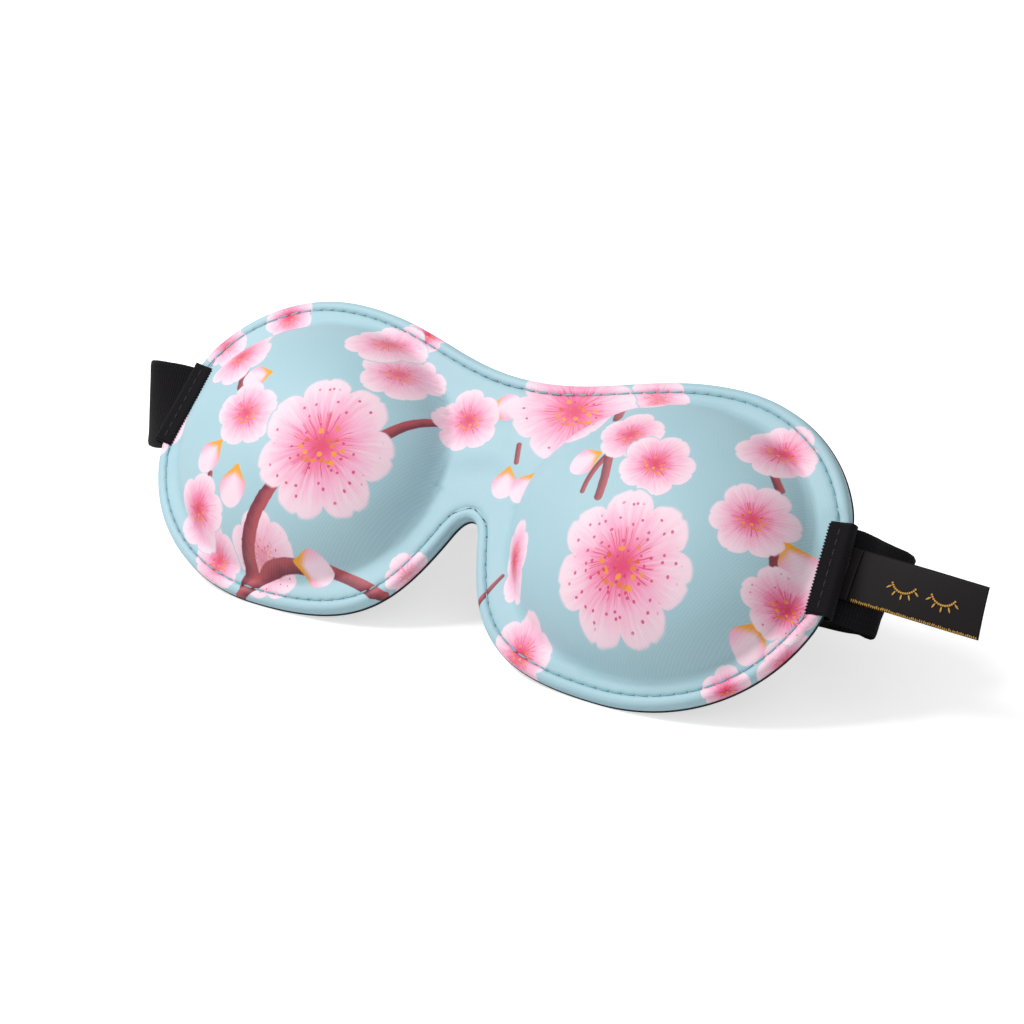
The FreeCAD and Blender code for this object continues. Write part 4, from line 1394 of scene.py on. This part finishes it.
        mesh = bent_grid(len(bars) - 1, 3, corner)
        holes = []
        for face in mesh.faces:
            middle = face.calc_center_median()
            column = sum(1 for side in bars if side < middle.x) - 1
            if column % 2 == 1 and bar < middle.z < height - bar:
                holes.append(face)
        bmesh.ops.delete(mesh, geom=holes, context="FACES_ONLY")
        raised = bmesh.ops.extrude_face_region(mesh, geom=mesh.faces[:])["geom"]
        bmesh.ops.translate(mesh, vec=(0, depth, 0), verts=[v for v in raised if isinstance(v, bmesh.types.BMVert)])
        bmesh.ops.recalc_face_normals(mesh, faces=mesh.faces)
        sharp = [edge for edge in mesh.edges if len(edge.link_faces) == 2 and edge.calc_face_angle(0.0) > 0.8]
        bmesh.ops.bevel(mesh, geom=sharp, offset=0.55, segments=3, affect="EDGES", profile=0.5, material=-1)
        return make_piece(mesh, name, plastic, Matrix.Identity(4), outward=True)

    def tack(self, name: str, x: float, y: float, thread: bpy.types.Material) -> bpy.types.Object:
        """A dense zigzag block of stitches on the strap's face."""
        mesh = thread_mesh()
        for number in range(36):
            low, high = self.rise - 11 + number * 22 / 36, self.rise - 11 + (number + 1) * 22 / 36
            start, end = (x, x + 3.0) if number % 2 else (x + 3.0, x)
            first = self.spot(start, y) + self.UP * (low - self.rise)
            last = self.spot(end, y) + self.UP * (high - self.rise)
            capsule(mesh, first, last, 0.26, 0.7, Vector((0, 1, 0)))
        return make_piece(mesh, name, thread, Matrix.Identity(4), outward=True)

    def build(self, elastic: bpy.types.Material, plastic: bpy.types.Material, thread: bpy.types.Material) -> None:
        """Builds and dresses the strap's pieces."""
        still = Matrix.Identity(4)
        right = make_piece(self.band.sweep(*self.right_side()), "strap_band_right", elastic, still, True)
        left = make_piece(self.band.sweep(*self.left_side()), "strap_band_left", elastic, still, True)
        beside, through = self.rear_paths()
        run = make_piece(self.band.sweep(*self.upright(through)), "strap_band_loop", elastic, still, True)
        link = make_piece(self.band.sweep(*self.upright(beside)), "strap_band_link", elastic, still, True)
        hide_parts("strap_right")
        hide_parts("strap_left")
        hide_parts("strap_rear_run")
        for piece in (right, left):
            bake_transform(piece)
        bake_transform(run)
        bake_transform(link)
        ring = self.frame_piece("ring_frame", (-27.2, -24.8, -19.2, -16.8), plastic)
        slider = self.frame_piece("slider_frame", (3.9, 6.3, 12.8, 15.2, 21.7, 24.1), plastic)
        ring_tack = self.tack("ring_tack", self.ring - self.ring_bar - 12.5, -self.layer / 2 - 0.7, thread)
        slider_tack = self.tack("slider_tack", self.slider - self.slider_bar - 5.7,
                                -self.under - 2 * self.layer - 0.7, thread)
        for piece, node, slot, body in ((ring, "strap_ring", "black_plastic", "rear_strap"),
                                        (slider, "strap_slider", "black_plastic", "adjuster"),
                                        (ring_tack, "bar_tack_ring", "black_thread", "rear_strap"),
                                        (slider_tack, "bar_tack_slider", "black_thread", "adjuster")):
            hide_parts(node)
            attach(piece, body)


# ---------------------------------------------------------------- label

@dataclass
class SideLabel:
    """A folded satin label with an overlocked edge and a closed-eyes motif."""

    hinge: tuple[float, float, float] = (110.3, 50.5, -3.4)
    length: float = 33.7
    width: float = 13.5
    thickness: float = 0.55
    bend: float = 9.0
    twist: float = 22.0
    eye_radius: float = 3.6
    eye_spacing: float = 10.6

    def spot(self, along: float, across: float, above: float) -> Vector:
        """A point on the twisted label, in the row frame.

        Args:
            along: from the sewn end.
            across: from the middle line, upwards.
            above: out of the label's face.

        Returns:
            The point.
        """
        share = smooth_step(0, 1.15 * self.length, along)
        turn = math.radians(4 + (self.twist - 4) * share)
        curl = 0.5 * math.sin(along / self.length * 2.4) - 0.25 * (across / self.width * 2) ** 2
        bend = math.radians(self.bend)
        side = Vector((0, math.cos(turn), math.sin(turn)))
        face = Vector((0, -math.sin(turn), math.cos(turn)))
        ahead = Vector((math.cos(bend), 0, -math.sin(bend)))
        return on_mask(*(Vector(self.hinge) + ahead * along + side * across + face * (above + curl)))

    def strip(self, start: float, end: float, width: float, sink: float, name: str,
              cloth: bpy.types.Material) -> bpy.types.Object:
        """A stretch of the label's satin, sink being its height over the label's face."""
        columns, rows = max(round((end - start) * 2), 6), 22

        def corner(column: int, row: int) -> tuple[Vector, tuple[float, float, float]]:
            """A corner of the strip."""
            along, across = start + (end - start) * column / columns, width * (row / rows - 0.5)
            return self.spot(along, across, sink), (along, across, 0)

        mesh = bent_grid(columns, rows, corner)
        piece = make_piece(mesh, name, cloth, Matrix.Identity(4))
        thicken(piece, self.thickness)
        return piece

    def thread_path(self, mesh: bmesh.types.BMesh, points: Sequence[tuple[float, float]], radius: float) -> None:
        """Satin stitch along a line on the label: short threads laid across it."""
        for (x0, y0), (x1, y1) in zip(points, points[1:]):
            up = self.spot((x0 + x1) / 2, (y0 + y1) / 2, 1.0) - self.spot((x0 + x1) / 2, (y0 + y1) / 2, 0.0)
            capsule(mesh, self.spot(x0, y0, 0.12), self.spot(x1, y1, 0.12), radius, 0.55, up)

    def build(self, cloth: bpy.types.Material, gold: bpy.types.Material) -> None:
        """Builds and dresses the label's pieces."""
        strip = self.strip(-0.6, self.length, self.width, 0.0, "label_satin", cloth)
        tab = self.strip(-7.0, -0.7, self.width, -0.02, "label_tab_satin", cloth)
        motif, edging = thread_mesh(), thread_mesh()
        for sign in (-1, 1):
            middle = self.length / 2 + 1.0 + sign * self.eye_spacing / 2
            arc = []
            for step in range(15):
                angle = math.radians(205 + 130 * step / 14)
                arc.append((middle + self.eye_radius * math.cos(angle), 2.6 + self.eye_radius * math.sin(angle)))
            self.thread_path(motif, arc, 0.34)
            for angle in (218, 244, 270, 296, 322):
                way = (math.cos(math.radians(angle)), math.sin(math.radians(angle)))
                near, far = self.eye_radius + 0.3, self.eye_radius + 1.9
                self.thread_path(motif, [(middle + near * way[0], 2.6 + near * way[1]),
                                         (middle + far * way[0], 2.6 + far * way[1])], 0.27)
        low = -self.width / 2
        dice = random.Random(5)
        count = 62
        for number in range(count):
            along = 0.4 + (self.length - 0.6) * number / count
            up = self.spot(along, low, 1.0) - self.spot(along, low, 0.0)
            lean = dice.uniform(0.1, 0.3)
            inner = self.spot(along + lean, low + dice.uniform(0.6, 0.9), 0.14)
            capsule(edging, self.spot(along, low - 0.12, -0.2), inner, 0.2, 0.8, up)
        lids = make_piece(motif, "label_lids", gold, Matrix.Identity(4), True)
        edge = make_piece(edging, "label_overlock", gold, Matrix.Identity(4), True)
        for piece, node, slot, body in ((strip, "label", "black_label", "side_label"),
                                        (tab, "label_tab", "black_label", "mask"),
                                        (lids, "label_motif", "gold_thread", "side_label"),
                                        (edge, "label_edging", "gold_thread", "side_label")):
            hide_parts(node)
            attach(piece, body)


# ---------------------------------------------------------------- studio

@dataclass(frozen=True)
class Studio:
    """Camera, white ground and soft light."""

    lens: float = 109.2
    camera_at: tuple[float, float, float] = (442.4, -600.6, 346.0)
    ahead: tuple[float, float, float] = (-0.5235, 0.7630, -0.3792)
    right: tuple[float, float, float] = (0.8246, 0.5658, 0.0)
    sky: float = 0.36
    floor_glow: float = 0.58
    aim: tuple[float, float, float] = (0, 0.03, 0.03)

    def camera(self) -> None:
        """Makes the camera."""
        data = bpy.data.cameras.new("camera")
        data.lens = self.lens
        data.sensor_width = 36.0
        data.clip_start, data.clip_end = 0.01, 50.0
        camera = bpy.data.objects.new("camera", data)
        bpy.context.scene.collection.objects.link(camera)
        ahead = Vector(self.ahead).normalized()
        right = Vector(self.right).normalized()
        up = right.cross(ahead).normalized()
        turn = Matrix((right, up, -ahead)).transposed().to_4x4()
        camera.matrix_world = Matrix.Translation(Vector(self.camera_at) * MM) @ turn
        bpy.context.scene.camera = camera

    def lamp(self, name: str, place: tuple[float, float, float], size: float, power: float) -> None:
        """Makes one soft lamp that faces the object."""
        data = bpy.data.lights.new(name, "AREA")
        data.shape = "DISK"
        data.size = size
        data.energy = power
        lamp = bpy.data.objects.new(name, data)
        bpy.context.scene.collection.objects.link(lamp)
        lamp.location = place
        lamp.rotation_mode = "QUATERNION"
        lamp.rotation_quaternion = (Vector(self.aim) - Vector(place)).to_track_quat("-Z", "Y")

    def world(self) -> None:
        """Even white light; the background is white to the camera, gloss and glass."""
        world = bpy.data.worlds.new("studio")
        world.use_nodes = True
        bpy.context.scene.world = world
        nodes = Nodes(world.node_tree)
        path = nodes.node("LightPath", output="Is Camera Ray")
        seen = nodes.maths("MAXIMUM", nodes.maths("MAXIMUM", path, path.out("Is Glossy Ray")),
                           path.out("Is Transmission Ray"))
        light = nodes.node("Background", values={"Color": (1, 1, 1, 1), "Strength": self.sky})
        white = nodes.node("Background", values={"Color": (1, 1, 1, 1), "Strength": 1.0})
        both = nodes.node("MixShader", values={0: seen, 1: light, 2: white})
        nodes.node("OutputWorld", values={"Surface": both})

    def ground(self) -> None:
        """Plain pale floor that keeps the shadow."""
        mesh = bmesh.new()
        bmesh.ops.create_grid(mesh, x_segments=1, y_segments=1, size=6.0)
        data = bpy.data.meshes.new("floor")
        mesh.to_mesh(data)
        mesh.free()
        floor = bpy.data.objects.new("floor", data)
        bpy.context.scene.collection.objects.link(floor)
        material, nodes = new_material("floor_white")
        path = nodes.node("LightPath", output="Is Camera Ray")
        plain = nodes.node("BsdfDiffuse", values={"Color": (0.86, 0.86, 0.86, 1)})
        glow = nodes.node("Emission", values={"Color": (1, 1, 1, 1), "Strength": path * self.floor_glow})
        both = nodes.node("AddShader", values={0: plain, 1: glow})
        nodes.node("OutputMaterial", values={"Surface": both})
        data.materials.append(material)

    def build(self) -> None:
        """Sets the stage."""
        self.camera()
        self.world()
        self.ground()
        self.lamp("key", (-0.62, -0.42, 0.95), 0.5, 10.5)
        self.lamp("fill", (0.9, -1.0, 0.8), 1.0, 3.0)
        bpy.context.scene.view_settings.view_transform = "Standard"


def main() -> None:
    """Builds every sub-assembly in order."""
    logging.basicConfig(level=logging.INFO, format="%(message)s")
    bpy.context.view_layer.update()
    Studio().build()
    satin = {side: PrintedSatin().make(side) for side in Side}
    elastic = RibbedBlack("black_elastic", 0.66, 0.9, 0.00014, edge=9.0).make()
    grosgrain = RibbedBlack("black_grosgrain", 0.86, 0.5, 0.00005).make()
    black_thread = TwistedThread("black_thread", tint(6, 5, 7), tint(19, 17, 20), 0.8).make()
    teal_thread = TwistedThread("teal_thread", tint(96, 154, 170), tint(158, 206, 216), sunk=1.28).make()
    gold_thread = TwistedThread("gold_thread", tint(178, 122, 34), tint(232, 184, 78), 0.38).make()
    Shell(MaskShape()).build(satin, OpenFoam().make(), KnitLining().make(), teal_thread)
    for side in Side:
        Binding(side).build(grosgrain, black_thread)
    HeadStrap().build(elastic, MouldedPlastic().make(), black_thread)
    SideLabel().build(LabelSatin().make(), gold_thread)


if __name__ == "__main__":
    main()
